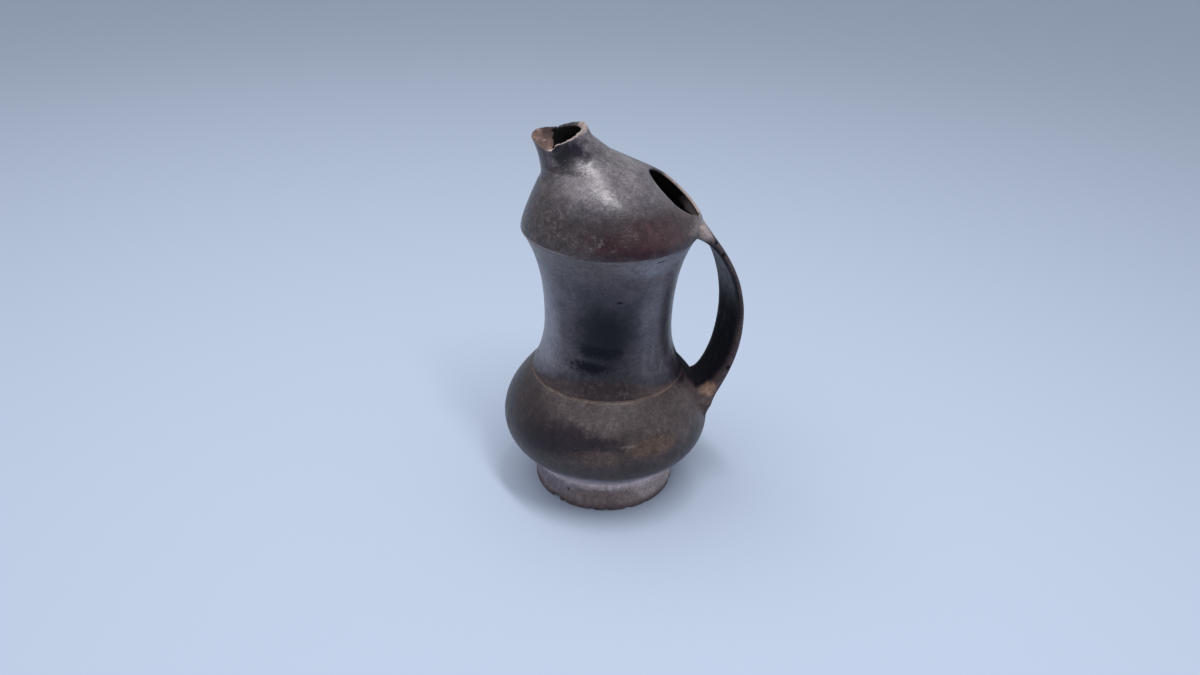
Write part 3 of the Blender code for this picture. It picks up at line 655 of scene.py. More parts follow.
def neck_clay():
    clay = Clay("neck_clay", SLATE, roughness=0.28, specular=0.18)
    streak = clay.noise(0.022, seed=31, detail=5, grain=(1.0, 1.0, 0.22))
    clay.tint(clay.rise(streak, 0.48, 0.34), BLUE_BLACK, 0.5)
    # Paler ash grey round the neck's top, under the hood: painted reflection of the floor
    clay.tint(clay.rise(clay.ragged(clay.axis("Z"), 0.03, 0.008, 5.0), 0.158, 0.19), ASH, 0.85)
    # The blue grey patches at -161 and -57 degrees: painted reflection on the neck's left edge and top
    clay.lay(
        clay.patch,
        (BLUE_BLACK, 0.95, -95, 0.043, 0.134, 0.024, 0.037, 0.4, 3, 0.8),
        (JET, 0.7, -97, 0.043, 0.135, 0.015, 0.017, 0.7, 4, 0.7),
        (REFLECTED_BLUE, 0.75, -161, 0.0427, 0.132, 0.012, 0.042, 0.4, 8, 0.7),
        (BLUE_BLACK, 0.55, -35, 0.0427, 0.136, 0.0095, 0.033, 0.5, 9, 0.6),
        (REFLECTED_BLUE, 0.65, -57, 0.0535, 0.186, 0.021, 0.0085, 0.5, 10, 0.7),
    )
    level = clay.math("MULTIPLY_ADD", clay.rise(clay.axis("X"), -0.014, -0.062), 0.0125, clay.axis("Z"))
    level = clay.math("MULTIPLY_ADD", clay.rise(clay.axis("X"), -0.006, 0.06), 0.0135, level)
    above_band = clay.below(0.108, soft=0.005, ragged=0.003, seed=12, level=level)
    clay.tint(above_band, BLUE_BLACK, 0.55)
    clay.lay(
        clay.patch,
        (JET, 1.0, -101, 0.043, 0.1225, 0.013, 0.0045, 0.9, 1, 0.6),
        (JET, 1.0, -109, 0.0445, 0.1115, 0.0125, 0.0042, 0.9, 2, 0.6),
        # Faint blue grey at -55 degrees: painted reflection
        (REFLECTED_BLUE, 0.24, -55, 0.043, 0.144, 0.0085, 0.03, 0.5, 13, 0.7),
    )
    band = clay.below(0.103, soft=0.0014, ragged=0.0036, seed=4, level=level)
    clay.tint(band, DARK_BROWN, 0.95)
    clay.tint(clay.both(band, clay.rise(clay.axis("X"), 0.008, 0.03)), GREY_BROWN, 0.9)
    clay.tint(clay.both(band, clay.rise(clay.axis("X"), -0.012, -0.034)), GREY_BROWN, 0.45)
    grit = clay.rise(clay.noise(0.003, seed=41, detail=3), 0.5, 0.64)
    clay.tint(clay.both(band, grit), GREY_BROWN, 0.4)
    clay.gloss(band, 0.6)
    # Purple black on the neck's lower right, by the handle: painted shade
    clay.lay(clay.spot, (PURPLE_BLACK, 0.8, (0.048, -0.004, 0.096), (0.02, 0.026, 0.015), 0.5, 7))
    # Near black in the corner behind the handle's foot: painted shade
    corner_shade = clay.spot((0.052, 0.0, 0.094), (0.013, 0.0135, 0.014), soft=0.5, ragged=0.6, seed=6)
    clay.tint(corner_shade, JET)
    clay.lay(
        clay.patch,
        (JET, 1.0, -85.8, 0.0452, 0.1597, 0.0022, 0.0009, 0.3, 0, 0.4),
        (JET, 1.0, -60, 0.0545, 0.188, 0.004, 0.0005, 0.3, 0, 0.3),
    )
    clay.tint(clay.line(NECK_TOP_HEIGHT - 0.0012, width=0.0008, ragged=0.0004, seed=3), PALE_GREY, 0.8)
    groove_line(clay)
    weathered(clay, seed=9, contrast=0.2, flecks=0.1, dull=0.45, grain=(1.0, 1.0, 1.6))
    clay.gloss(corner_shade, 0.95)
    painted_inside_shade(clay)
    return clay.done()


def hood_clay():
    clay = Clay("hood_clay", GREY, roughness=0.27, specular=0.42)
    clay.tint(clay.rise(clay.noise(0.03, seed=6, detail=5), 0.46, 0.64), LILAC_GREY, 0.7)
    # Lilac grey on the hood's upper front: painted sheen around the highlight
    clay.lay(clay.spot, (LILAC_GREY, 0.6, (-0.005, -0.03, 0.231), (0.028, 0.018, 0.014), 0.5, 14))
    clay.tint(clay.below(0.2165, soft=0.0075, ragged=0.005, seed=1), DARK_BROWN, 0.72)
    clay.lay(
        clay.patch,
        (BROWN, 0.7, -165, 0.05, 0.215, 0.026, 0.016, 0.7, 9),
        (DARK_BROWN, 0.6, -128, 0.0534, 0.2035, 0.018, 0.007, 0.7, 16),
    )
    red = clay.patch(-77.0, 0.052, 0.2025, 0.028, 0.011, ragged=0.6, seed=2)
    clay.tint(red, RED_BROWN, 0.95)
    clay.lay(clay.patch, (DULL_RED, 0.8, -47, 0.051, 0.205, 0.022, 0.008, 0.8, 3))
    freckles = clay.rise(clay.noise(0.003, seed=57, detail=5, rough=0.7), 0.5, 0.66)
    clay.tint(clay.both(freckles, clay.rise(clay.axis("X"), -0.01, -0.035)), FRECKLE, 0.4)
    crumbs = clay.rise(clay.noise(0.003, seed=51, rough=0.7), 0.54, 0.68)
    low_front = clay.patch(-112.0, 0.054, 0.201, 0.022, 0.006, ragged=0.6, seed=5)
    clay.tint(clay.both(crumbs, low_front), FLECK, 0.2)
    clay.relief(clay.both(crumbs, low_front), 0.00012)
    # Painted highlight down the hood, with pale abraded specks in it
    streak = clay.spot((-0.0146, -0.0237, 0.236), (0.006, 0.0075, 0.0065), soft=0.6, seed=15)
    for centre in STREAK_PLACES:
        more = clay.spot(centre, (0.006, 0.008, 0.0065), soft=0.6, seed=15)
        streak = clay.math("MAXIMUM", streak, more)
    clay.tint(clay.both(streak, clay.rise(clay.noise(0.0022, seed=55), 0.38, 0.62)), ABRASION_AND_HIGHLIGHT, 0.65)
    # Pale grey along the hood's crown: painted sheen
    clay.lay(clay.spot, (PALE_GREY, 0.6, (0.004, -0.004, 0.238), (0.03, 0.013, 0.007), 0.8, 12))
    stain = clay.spot((-0.0262, -0.015, 0.246), (0.0142, 0.0085, 0.007), soft=0.75, ragged=0.9, seed=6)
    clay.tint(stain, STAIN)
    clay.lay(
        clay.spot,
        (JET, 1.0, (-0.029, -0.014, 0.2405), (0.007, 0.0065, 0.006), 0.7, 7),
        (JET, 1.0, (-0.0355, -0.0128, 0.247), (0.0036, 0.004, 0.003), 0.5, 13),
    )
    scar = clay.spot((-0.033, -0.0185, 0.2345), (0.015, 0.008, 0.0018), ragged=0.9, seed=8)
    clay.tint(scar, DARK_BROWN, 0.8)
    clay.relief(scar, -0.0004)
    clay.gloss(scar, 0.75)
    clay.lay(clay.spot, (SMEAR_CLAY, 0.55, (0.0545, -0.003, 0.1985), (0.01, 0.026, 0.0048), 0.8, 10))
    weathered(clay, seed=13, contrast=0.34, flecks=0.36, dull=0.36, grain=(1.0, 1.0, 0.8))
    clay.gloss(red, 0.28)
    clay.gloss(stain, 0.85)
    painted_inside_shade(clay)
    plate = clay.layer("plate")
    clay.tint(plate, BEAK_CLAY)
    rough = clay.rise(clay.noise(0.0034, seed=61, detail=5), 0.46, 0.66)
    clay.tint(clay.both(plate, rough), BROKEN_CLAY, 0.5)
    # Deep red where the broken plate slopes into the spout's bore: painted shade
    near_hole = clay.rise(clay.ragged(clay.axis("X"), 0.005, 0.0034, 3.0), -0.045, -0.041)
    far_half = clay.rise(clay.axis("Y"), -0.007, 0.002)
    clay.tint(clay.both(plate, near_hole, far_half), DEEP_RED, 0.95)
    clay.gloss(plate, 0.8)
    # Pale clay on the filler hole's low inner wall, over the inside's near black: painted light where that
    # wall shows lit
    low_wall = clay.spot((0.0505, 0.0092, 0.201), (0.0075, 0.0075, 0.0085), ragged=0.7, seed=11)
    clay.tint(clay.both(low_wall, clay.layer("inside")), LIT_WALL_CLAY, 0.9)
    worn(clay, PALE_CLAY, 0.85)
    # A thin pale line along the hood's lower edge on the left: a painted highlight
    clay.lay(clay.patch, (ABRASION_AND_HIGHLIGHT, 0.65, -150, 0.056, 0.1929, 0.03, 0.0008, 0.3, 17, 0.4))
    return clay.done()


def handle_clay():
    clay = Clay("handle_clay", BLUE_BLACK, roughness=0.52, specular=0.2)
    palm = clay.layer("palm")
    side = clay.layer("side")
    clay.tint(clay.both(side, clay.rise(clay.axis("Z"), 0.165, 0.115)), SIDE_BROWN, 0.85)
    back = clay.math("SUBTRACT", 1.0, palm)
    bare = clay.rise(clay.noise(0.016, seed=73, detail=5, rough=0.65), 0.42, 0.64)
    clay.tint(clay.both(back, bare), BROWN, 0.75)
    # Slate grey on the palm's upper part: painted sheen
    sheen = clay.both(palm, clay.rise(clay.axis("Z"), 0.128, 0.168))
    clay.tint(clay.both(sheen, clay.rise(clay.noise(0.005, seed=71), 0.38, 0.6)), SLATE, 0.9)
    # Near black on the palm's lower part, facing the neck: painted shade
    low_palm = clay.both(palm, clay.rise(clay.axis("Z"), 0.155, 0.128))
    clay.tint(low_palm, JET)
    clay.gloss(low_palm, 0.85)
    worn(clay, GREY_BROWN, 0.7)
    smear = clay.rise(clay.ragged(clay.layer("top_root"), 0.008, 0.35, 1.0), 0.3, 0.7)
    clay.tint(smear, SMEAR_CLAY, 0.9)
    clay.gloss(smear, 0.7)
    foot = clay.rise(clay.ragged(clay.layer("foot_root"), 0.01, 0.45, 2.0), 0.1, 0.75)
    foot = clay.both(foot, back)
    clay.tint(foot, GREY_BROWN, 0.85)
    clay.lay(clay.spot, (ORANGE_CLAY, 0.75, ORANGE_PLACE, ORANGE_REACH, 0.6, 2))
    clay.gloss(foot, 0.6)
    for centre in KNOCK_PLACES:
        clay.tint(clay.spot(centre, (0.0014, 0.0024, 0.0018), soft=0.3, ragged=0.4), JET)
    weathered(clay, seed=17, contrast=0.3, flecks=0.2, dull=0.6)
    return clay.done()


def rounded(start, end, bulge, rows=3):
    """Rows across a rim from one loop to another, bulging out between them."""
    turns = np.linspace(0.0, math.pi, rows + 2)[1:-1]
    return [start + (end - start) * (1.0 - math.cos(t)) / 2.0 + bulge * math.sin(t) for t in turns]


def build_foot():
    """Ring foot with a worn, chipped lower edge and a soft fillet up to the belly."""
    inner = FOOT_RADIUS - FOOT_WALL
    turns = np.linspace(0.0, math.pi / 2.0, EDGE_ROWS)
    edge = rows_at(np.sin(turns), 1.0 - np.cos(turns)) * FOOT_EDGE
    outer_edge = edge + (FOOT_RADIUS - FOOT_EDGE, 0.0)
    inner_edge = (edge * (-1.0, 1.0) + (inner + FOOT_EDGE, 0.0))[::-1]
    side_top = FOOT_HIGH.z - 2.0 * FOOT_FILLET
    side = rows_at(FOOT_RADIUS, np.linspace(FOOT_EDGE, side_top, SIDE_ROWS))[1:]
    fillet = np.linspace(0.0, 1.0, FILLET_ROWS)[1:, None]
    flare = np.array((FOOT_RADIUS, side_top)) + fillet * (0.0, 2.0 * FOOT_FILLET)
    flare += fillet**2 * (FOOT_FILLET, 0.0)
    top_radii = np.linspace(flare[-1, 0], inner, EDGE_ROWS)[1:]
    radii, heights = UNDERSIDE(np.linspace(0.0, 1.0, UNDERSIDE_SAMPLES))[0].T
    top = rows_at(top_radii, np.interp(top_radii, radii, heights) + FOOT_BURY)
    drop = rows_at(inner, np.linspace(top[-1, 1], FOOT_EDGE, DROP_ROWS))[1:]
    outline = np.concatenate((outer_edge, side, flare, top, drop, inner_edge[1:]))
    outer_rows = len(outer_edge) + len(side) + len(flare)
    rows = np.arange(len(outline))
    loops = uneven(turned(outline), FOOT_SEED, np.where(rows < outer_rows, FOOT_WOBBLE, 0.0))
    azimuth = np.degrees(np.arctan2(loops[..., 1], loops[..., 0]))
    wear = np.zeros(loops.shape[:2])
    wear[rows < len(outer_edge)] = FOOT_WEAR
    for chip in CHIPS:
        away = wrapped(azimuth - chip.azimuth) / chip.width
        bite = np.exp(-(away**4)) * np.exp(-((loops[..., 2] / chip.height) ** 2))
        bite[rows >= outer_rows] = 0.0
        loops[..., :2] *= (1.0 - bite * chip.depth / FOOT_RADIUS)[..., None]
        loops[..., 2] += bite * chip.depth * CHIP_LIFT
        wear = np.maximum(wear, bite)
    inside = np.where(rows >= outer_rows + len(top), 1.0, 0.0)
    layers = {"wear": wear, "inside": np.repeat(inside, SEGMENTS)}
    faces = loop_faces(len(outline), SEGMENTS, True)
    make_piece("foot", loops, faces, layers, foot_clay(), "foot_clay", "foot_ring", "foot_luting")


def turned_piece(name, outer, hidden, closed, *finish):
    """A turned piece: uneven outside above its level base, smooth and dark on its hidden rows."""
    outline = np.concatenate(outer + hidden)
    outside = np.arange(len(outline)) < sum(len(rows) for rows in outer)
    share = outside * smooth_step(LEVEL_BASE, UNEVEN_FROM, outline[:, 1])
    loops = uneven(turned(outline), BODY_SEED, share)
    layers = {"inside": np.repeat(np.where(outside, 0.0, 1.0), SEGMENTS)}
    faces = loop_faces(len(outline), SEGMENTS, closed)
    make_piece(name, loops, faces, layers, *finish)


def build_belly():
    """Round belly, its base closed by the slab, ending in the groove and a tongue inside the neck."""
    lap = LAP / NECK_FOOT.length
    groove = GROOVE_WIDTH / SHOULDER.length
    outer = [
        rows_at(np.linspace(0.0, BASE_RADIUS, BASE_ROWS), BELLY_LOW.z)[:-1],
        stretch(UNDERSIDE)[:-1],
        stretch(SHOULDER, 0.0, 0.0, 1.0 - groove),
        one_row(SHOULDER, GROOVE_DEPTH / 2.0, 1.0 - groove / 2.0),
        one_row(SHOULDER, GROOVE_DEPTH, 1.0),
    ]
    lining = stretch(UNDERSIDE, WALL, 1.0, 0.0, INNER_ROW)[1:]
    lining = lining[lining[:, 1] > BASE_TOP]
    hidden = [
        stretch(NECK_FOOT, (WALL + SEAM) / 2.0, 0.0, lap),
        stretch(NECK_FOOT, WALL, lap, 0.0, INNER_ROW),
        stretch(SHOULDER, WALL, 1.0, 0.0, INNER_ROW),
        lining,
        rows_at(np.linspace(lining[-1, 0], 0.0, DROP_ROWS), BASE_TOP)[1:],
    ]
    nodes = ("belly", "base_disc", "base_luting")
    turned_piece("belly_bowl", outer, hidden, False, belly_clay(), "belly_clay", *nodes)


def build_neck():
    """Waisted neck, from the groove to the crevice under the hood."""
    lap = (LAP + SEAM) / NECK_FOOT.length
    groove = GROOVE_WIDTH / NECK_FOOT.length
    skirt = (WALL - SEAM) / 2.0
    crevice = 1.0 - UNDER_HOOD / NECK_RISE.length
    outer = [
        one_row(NECK_FOOT, GROOVE_DEPTH, 0.0),
        one_row(NECK_FOOT, GROOVE_DEPTH / 3.0, groove / 2.0),
        stretch(NECK_FOOT, 0.0, groove, 1.0)[:-1],
        stretch(NECK_RISE, 0.0, 0.0, crevice),
        one_row(NECK_RISE, UNDER_HOOD, 1.0),
    ]
    hidden = [
        rows_at((HOOD_RADIUS - WALL / 2.0, HOOD_RADIUS - WALL - UNDER_HOOD), NECK_HIGH.z),
        stretch(NECK_RISE, WALL, 1.0, 0.0, INNER_ROW),
        stretch(NECK_FOOT, WALL, 1.0, lap, INNER_ROW)[1:],
        stretch(NECK_FOOT, skirt, lap, 0.0),
    ]
    nodes = ("neck", "neck_luting", "hood_luting")
    turned_piece("neck_tube", outer, hidden, True, neck_clay(), "neck_clay", *nodes)


RIM_RING = Ring(0.0, HOOD_LIFT, HOOD_RADIUS, HOOD_RADIUS, 0.0)
RINGS = (RIM_RING, EDGE_RING, SHOULDER_RING, CROWN_RING, ROOT_RING, THROAT_RING, LIP_RING, MOUTH_RING)
RING_VALUES = np.array(RINGS)
STEPS = np.hypot(np.diff([ring.height for ring in RINGS]), np.diff([ring.half_width for ring in RINGS]))
PLACES = np.concatenate(([0.0], np.cumsum(STEPS)))
SLOPES = np.array([
    (RING_VALUES[min(k + 1, len(RINGS) - 1)] - RING_VALUES[max(k - 1, 0)])
    / (PLACES[min(k + 1, len(RINGS) - 1)] - PLACES[max(k - 1, 0)]) for k in range(len(RINGS))])
ROOT_PLACE = PLACES[RINGS.index(ROOT_RING)]
MOUTH_PLACE = PLACES[-1]


def hood_points(place, angle):
    """Points of the outer face of the hood and spout, by distance up it and angle round it."""
    k = np.clip(np.searchsorted(PLACES, place, side="right") - 1, 0, len(RINGS) - 2)
    span = (PLACES[k + 1] - PLACES[k])[..., None]
    t = (place - PLACES[k])[..., None] / span
    first = RING_VALUES[k] * (1 + 2 * t) * (1 - t) ** 2 + span * SLOPES[k] * t * (1 - t) ** 2
    last = RING_VALUES[k + 1] * t * t * (3 - 2 * t) + span * SLOPES[k + 1] * t * t * (t - 1)
    ring = Ring(*np.moveaxis(first + last, -1, 0))
    tilt = np.radians(ring.tilt)
    along = ring.half_length * np.cos(angle)
    x = along * np.cos(tilt) - ring.forward
    y = ring.half_width * np.sin(angle)
    z = NECK_TOP_HEIGHT + ring.height + along * np.sin(tilt)
    return np.stack((x, y, z), axis=-1)


def hood_normals(place, angle):
    """Outward directions of the hood's face."""
    step = 0.0003
    turn = math.radians(1.0)
    up = hood_points(place + step, angle) - hood_points(place - step, angle)
    across = hood_points(place, angle + turn) - hood_points(place, angle - turn)
    normal = np.cross(across, up)
    return normal / np.linalg.norm(normal, axis=-1)[..., None]


def back_ridge(samples):
    """Places up the hood's back, and the points of its middle line there."""
    places = np.linspace(0.0, ROOT_PLACE, samples)
    return places, hood_points(places, np.zeros(samples))


def filler_frame():
    """Middle of the filler hole on the hood's back, and its downslope direction."""
    places, ridge = back_ridge(FILLER_SAMPLES)
    place = np.interp(NECK_TOP_HEIGHT + FILLER_RISE, ridge[:, 2], places)
    centre = hood_points(np.array(place), np.array(0.0))
    outward = hood_normals(np.array(place), np.array(0.0))
    return centre + ACROSS * FILLER_OFFSET, np.cross(ACROSS, outward)


FILLER_CENTRE, FILLER_DOWN = filler_frame()


def filler_reach(points):
    """Where points lie across the filler hole: (downslope, sideways), with the hole's edge at length 1."""
    offset = points - FILLER_CENTRE
    down = offset @ FILLER_DOWN / (FILLER_LENGTH / 2.0)
    across = offset @ ACROSS / (FILLER_WIDTH / 2.0)
    return np.stack((down, across), axis=-1)


def snapped(place, angle, chosen):
    """Move the chosen grid points along the hood's face to the filler hole's edge."""
    p, a = place[chosen], angle[chosen]
    target = filler_reach(hood_points(p, a))
    target /= np.linalg.norm(target, axis=-1)[:, None]
    waves = [noise.noise(Vector((down, across, 5.0))) for down, across in FILLER_WAVES * target]
    target *= 1.0 + FILLER_UNEVEN * np.array(waves)[:, None]
    step = 0.0002
    turn = 0.003
    rounds = 4
    for _ in range(rounds):
        here = filler_reach(hood_points(p, a))
        by_place = (filler_reach(hood_points(p + step, a)) - here) / step
        by_angle = (filler_reach(hood_points(p, a + turn)) - here) / turn
        slopes = np.stack((by_place, by_angle), axis=-1)
        move = np.linalg.solve(slopes, (target - here)[..., None])
        p, a = p + move[:, 0, 0], a + move[:, 1, 0]
    place[chosen], angle[chosen] = p, a


def rim_drop(angle):
    """How far the broken rim lies below the mouth, by angle round it, on a soft curve."""
    turns = np.degrees(angle)
    drops = [np.interp(wrapped(turns + shift), RIM_ANGLES, RIM_DROPS) for shift in RIM_SOFTENING]
    return np.mean(drops, axis=0) * MILLIMETRE


def build_hood():
    """Hood drawn into the beaked spout: one shell, with the filler hole and the broken mouth."""
    rows = round(MOUTH_PLACE / ROW)
    share = np.linspace(0.0, 1.0, rows + 1)[:, None]
    angle = np.repeat(ANGLES[None, :], rows + 1, axis=0)
    drawn = smooth_step(ROOT_PLACE / MOUTH_PLACE, 1.0, share)
    around = RIM_CHIP_RATE * np.stack((np.cos(ANGLES), np.sin(ANGLES)), axis=1)
    chip = np.array([noise.noise(Vector((x, y, 3.0))) for x, y in around])
    place = share * MOUTH_PLACE - drawn * (rim_drop(ANGLES) + RIM_CHIP * chip)

    reach = np.linalg.norm(filler_reach(hood_points(place, angle)), axis=-1)
    behind = hood_points(place, angle)[..., 0] > 0.0
    onward = np.roll(reach, -1, axis=1)
    middle = (reach[:-1] + reach[1:] + onward[:-1] + onward[1:]) / 4.0
    open_cell = (middle < 1.0) & behind[:-1]
    touched = np.zeros(place.shape, int)
    for i, j in ((0, 0), (1, 0), (0, 1), (1, 1)):
        touched[i:i + rows] += np.roll(open_cell, j, axis=1)
    edge = (touched > 0) & (touched < 4)
    snapped(place, angle, edge)

    outer = hood_points(place, angle)
    normal = hood_normals(place, angle)
    where = filler_reach(outer)
    reach = np.maximum(np.linalg.norm(where, axis=-1), SEAM)
    away = np.abs(reach - 1.0) * FILLER_WIDTH / 2.0
    low_share, far_share = np.maximum(np.moveaxis(where, -1, 0) / reach, 0.0) ** 2
    lip = FILLER_LOW_LIP * low_share + FILLER_FAR_LIP * far_share
    lip = lip * smooth_step(FILLER_LIP_REACH, 0.0, away) * behind
    outer += normal * lip[..., None]
    rim_gap = np.linalg.norm(outer - outer[-1], axis=-1)
    back = np.maximum(np.cos(angle), 0.0)
    outer += normal * (REAR_LIP * back * smooth_step(REAR_LIP_REACH, 0.0, rim_gap))[..., None]
    far_side = smooth_step(0.1, 0.9, np.sin(angle))
    rim_wall = RIM_WALL + (WALL - RIM_WALL) * back - THIN_RIM * far_side
    thick = WALL + (rim_wall - WALL) * smooth_step(0.55, 1.0, share)
    thick += (FILLER_RIM - WALL) * smooth_step(2.0 * WALL, 0.0, away) * behind
    inner = outer - normal * thick[..., None]
    jag = np.array([noise.noise(Vector((0.0, y / JAG_SIZE, 7.0))) for y in outer[-1, :, 1]])
    jag += 0.5 * np.array([noise.noise(Vector((3.0, y / FINE_JAG_SIZE, 7.0))) for y in outer[-1, :, 1]])
    beak_back = BEAK_X + JAG * jag - BEAK_SLOPE * (1.0 - share) * MOUTH_PLACE
    inner[..., 0] = np.maximum(inner[..., 0], beak_back)
    outer = uneven(outer, BODY_SEED, np.where(np.arange(rows + 1) < 3, 0.3, 1.0))

    rim_turns = np.linspace(0.0, math.pi, MOUTH_ROWS + 2)[1:-1]
    bulge = RIM_BULGE + REAR_BULGE * back[-1]
    mouth = rounded(outer[-1], inner[-1], UP * bulge[:, None], MOUTH_ROWS)
    broken = smooth_step(BROKEN_FROM, BROKEN_WHOLE, np.linalg.norm(outer[-1] - inner[-1], axis=-1))
    for row, turn in zip(mouth, rim_turns):
        grit = [noise.noise(Vector(point) / GRIT_SIZE) for point in row]
        row[:, 2] += GRIT * math.sin(turn) * np.array(grit)
    foot = rounded(inner[0], outer[0], -UP * HOOD_EDGE * 0.3)
    loops = np.concatenate((outer, mouth, inner[::-1], foot))
    points = loops.reshape(-1, 3)
    faces = loop_faces(len(loops), SEGMENTS, True)
    inner_start = len(outer) + len(mouth)
    hole = [tuple(cell) for cell in np.argwhere(open_cell)]
    gone = {i * SEGMENTS + j for i, j in hole}
    gone |= {(inner_start + rows - 1 - i) * SEGMENTS + j for i, j in hole}
    faces = [face for k, face in enumerate(faces) if k not in gone]

    # Paler towards the filler hole's far and lower edge: rubbed clay, and painted light on its lit cut edge
    rubbed = smooth_step(0.3, 1.0, (where[..., 1] + 0.7 * where[..., 0]) / reach)
    rims = {}
    extra = []
    extra_wear = []

    def rim_row(i, j):
        """Points across the filler hole's cut edge, from the outer face to the inner."""
        if (i, j) not in rims:
            pull = -(where[i, j, 0] * FILLER_DOWN + where[i, j, 1] * ACROSS)
            pull = pull / np.linalg.norm(pull)
            between = rounded(outer[i, j], inner[i, j], pull * FILLER_BULGE)
            first = len(points) + len(extra)
            extra.extend(between)
            extra_wear.extend([rubbed[i, j]] * len(between))
            rims[i, j] = [i * SEGMENTS + j, *range(first, len(points) + len(extra)),
                          (inner_start + rows - i) * SEGMENTS + j]
        return rims[i, j]

    open_set = set(hole)
    for i, j in hole:
        k = (j + 1) % SEGMENTS
        sides = (((i, j), (i, k), (i - 1, j)), ((i, k), (i + 1, k), (i, k)),
                 ((i + 1, k), (i + 1, j), (i + 1, j)), ((i + 1, j), (i, j), (i, (j - 1) % SEGMENTS)))
        for start, end, beside in sides:
            if beside not in open_set:
                first, second = rim_row(*start), rim_row(*end)
                faces += [(first[n], second[n], second[n + 1], first[n + 1]) for n in range(len(first) - 1)]

    wear, plate, inside = np.zeros((3, *loops.shape[:2]))
    # The far side of the mouth's rim gets painted shade: less of the pale wear, and the inside's near black
    # at 0.75
    far = far_side[-1] * (1.0 - broken)
    shaded = 1.0 - 0.65 * far
    for k, turn in enumerate(rim_turns):
        wear[len(outer) + k] = shaded * (1.0 - broken * (0.6 + 0.4 * smooth_step(0.0, 0.9, turn)))
        plate[len(outer) + k] = broken * smooth_step(0.0, 0.5, turn)
    wear[:rows + 1] = smooth_step(RIM_WEAR + REAR_WEAR * back, 0.0, rim_gap) * (0.6 + 0.3 * back) * shaded
    # The filler hole's edge: pale wear with painted light
    wear[:rows + 1][edge] = FILLER_WEAR_AND_LIGHT * rubbed[edge]
    # A little pale wear on the hood's lowest rows: a painted highlight along its lower edge
    wear[:2] = 0.25
    inside[inner_start:inner_start + rows + 1] = 1.0
    inside[len(outer):inner_start] = 0.75 * far
    bare = np.zeros(len(extra))
    layers = {
        "wear": np.append(wear, extra_wear),
        "inside": np.append(inside, bare),
        "plate": np.append(plate, bare),
    }
    points = np.concatenate((points, extra))
    nodes = ("hood", "spout", "spout_luting")
    make_piece("hood_and_spout", points, faces, layers, hood_clay(), "hood_clay", *nodes)


def arc_radius(root):
    """Radius of the arc that leaves the handle's outermost point upright and ends at a root."""
    inward = APEX.x - root.x
    rise = root.y - APEX.y
    return (inward * inward + rise * rise) / (2.0 * inward)


def arc_length(root):
    radius = arc_radius(root)
    return radius * math.asin(abs(root.y - APEX.y) / radius)


def wall_radius(height):
    """Radius of the jug's outer face on the handle's side."""
    curves = (UNDERSIDE, SHOULDER, NECK_FOOT, NECK_RISE)
    points = np.concatenate([curve(np.linspace(0.0, 1.0, CURVE_SAMPLES))[0] for curve in curves])
    body = np.interp(height, points[:, 1], points[:, 0])
    ridge = back_ridge(RIDGE_SAMPLES)[1]
    hood = np.interp(height, ridge[:, 2], ridge[:, 0])
    return np.where(height < NECK_TOP_HEIGHT, body, hood)


def smeared_on(clear, outer, past_foot):
    """How far the strap's foot stands off the belly: it runs out on the outside, with a fillet inside."""
    run_out = (clear + np.hypot(clear, FOOT_SMEAR)) / 2.0
    run_out -= ROOT_BURY * (smooth_step(-SMEAR_END, -SMEAR_SUNK, clear) + past_foot)
    laid = np.sqrt(np.maximum(clear, STRAP_FILLET) ** 2 - STRAP_FILLET**2)
    laid -= ROOT_BURY * smooth_step(STRAP_FILLET, 0.6 * STRAP_FILLET, clear)
    return run_out * outer + laid * (1.0 - outer)


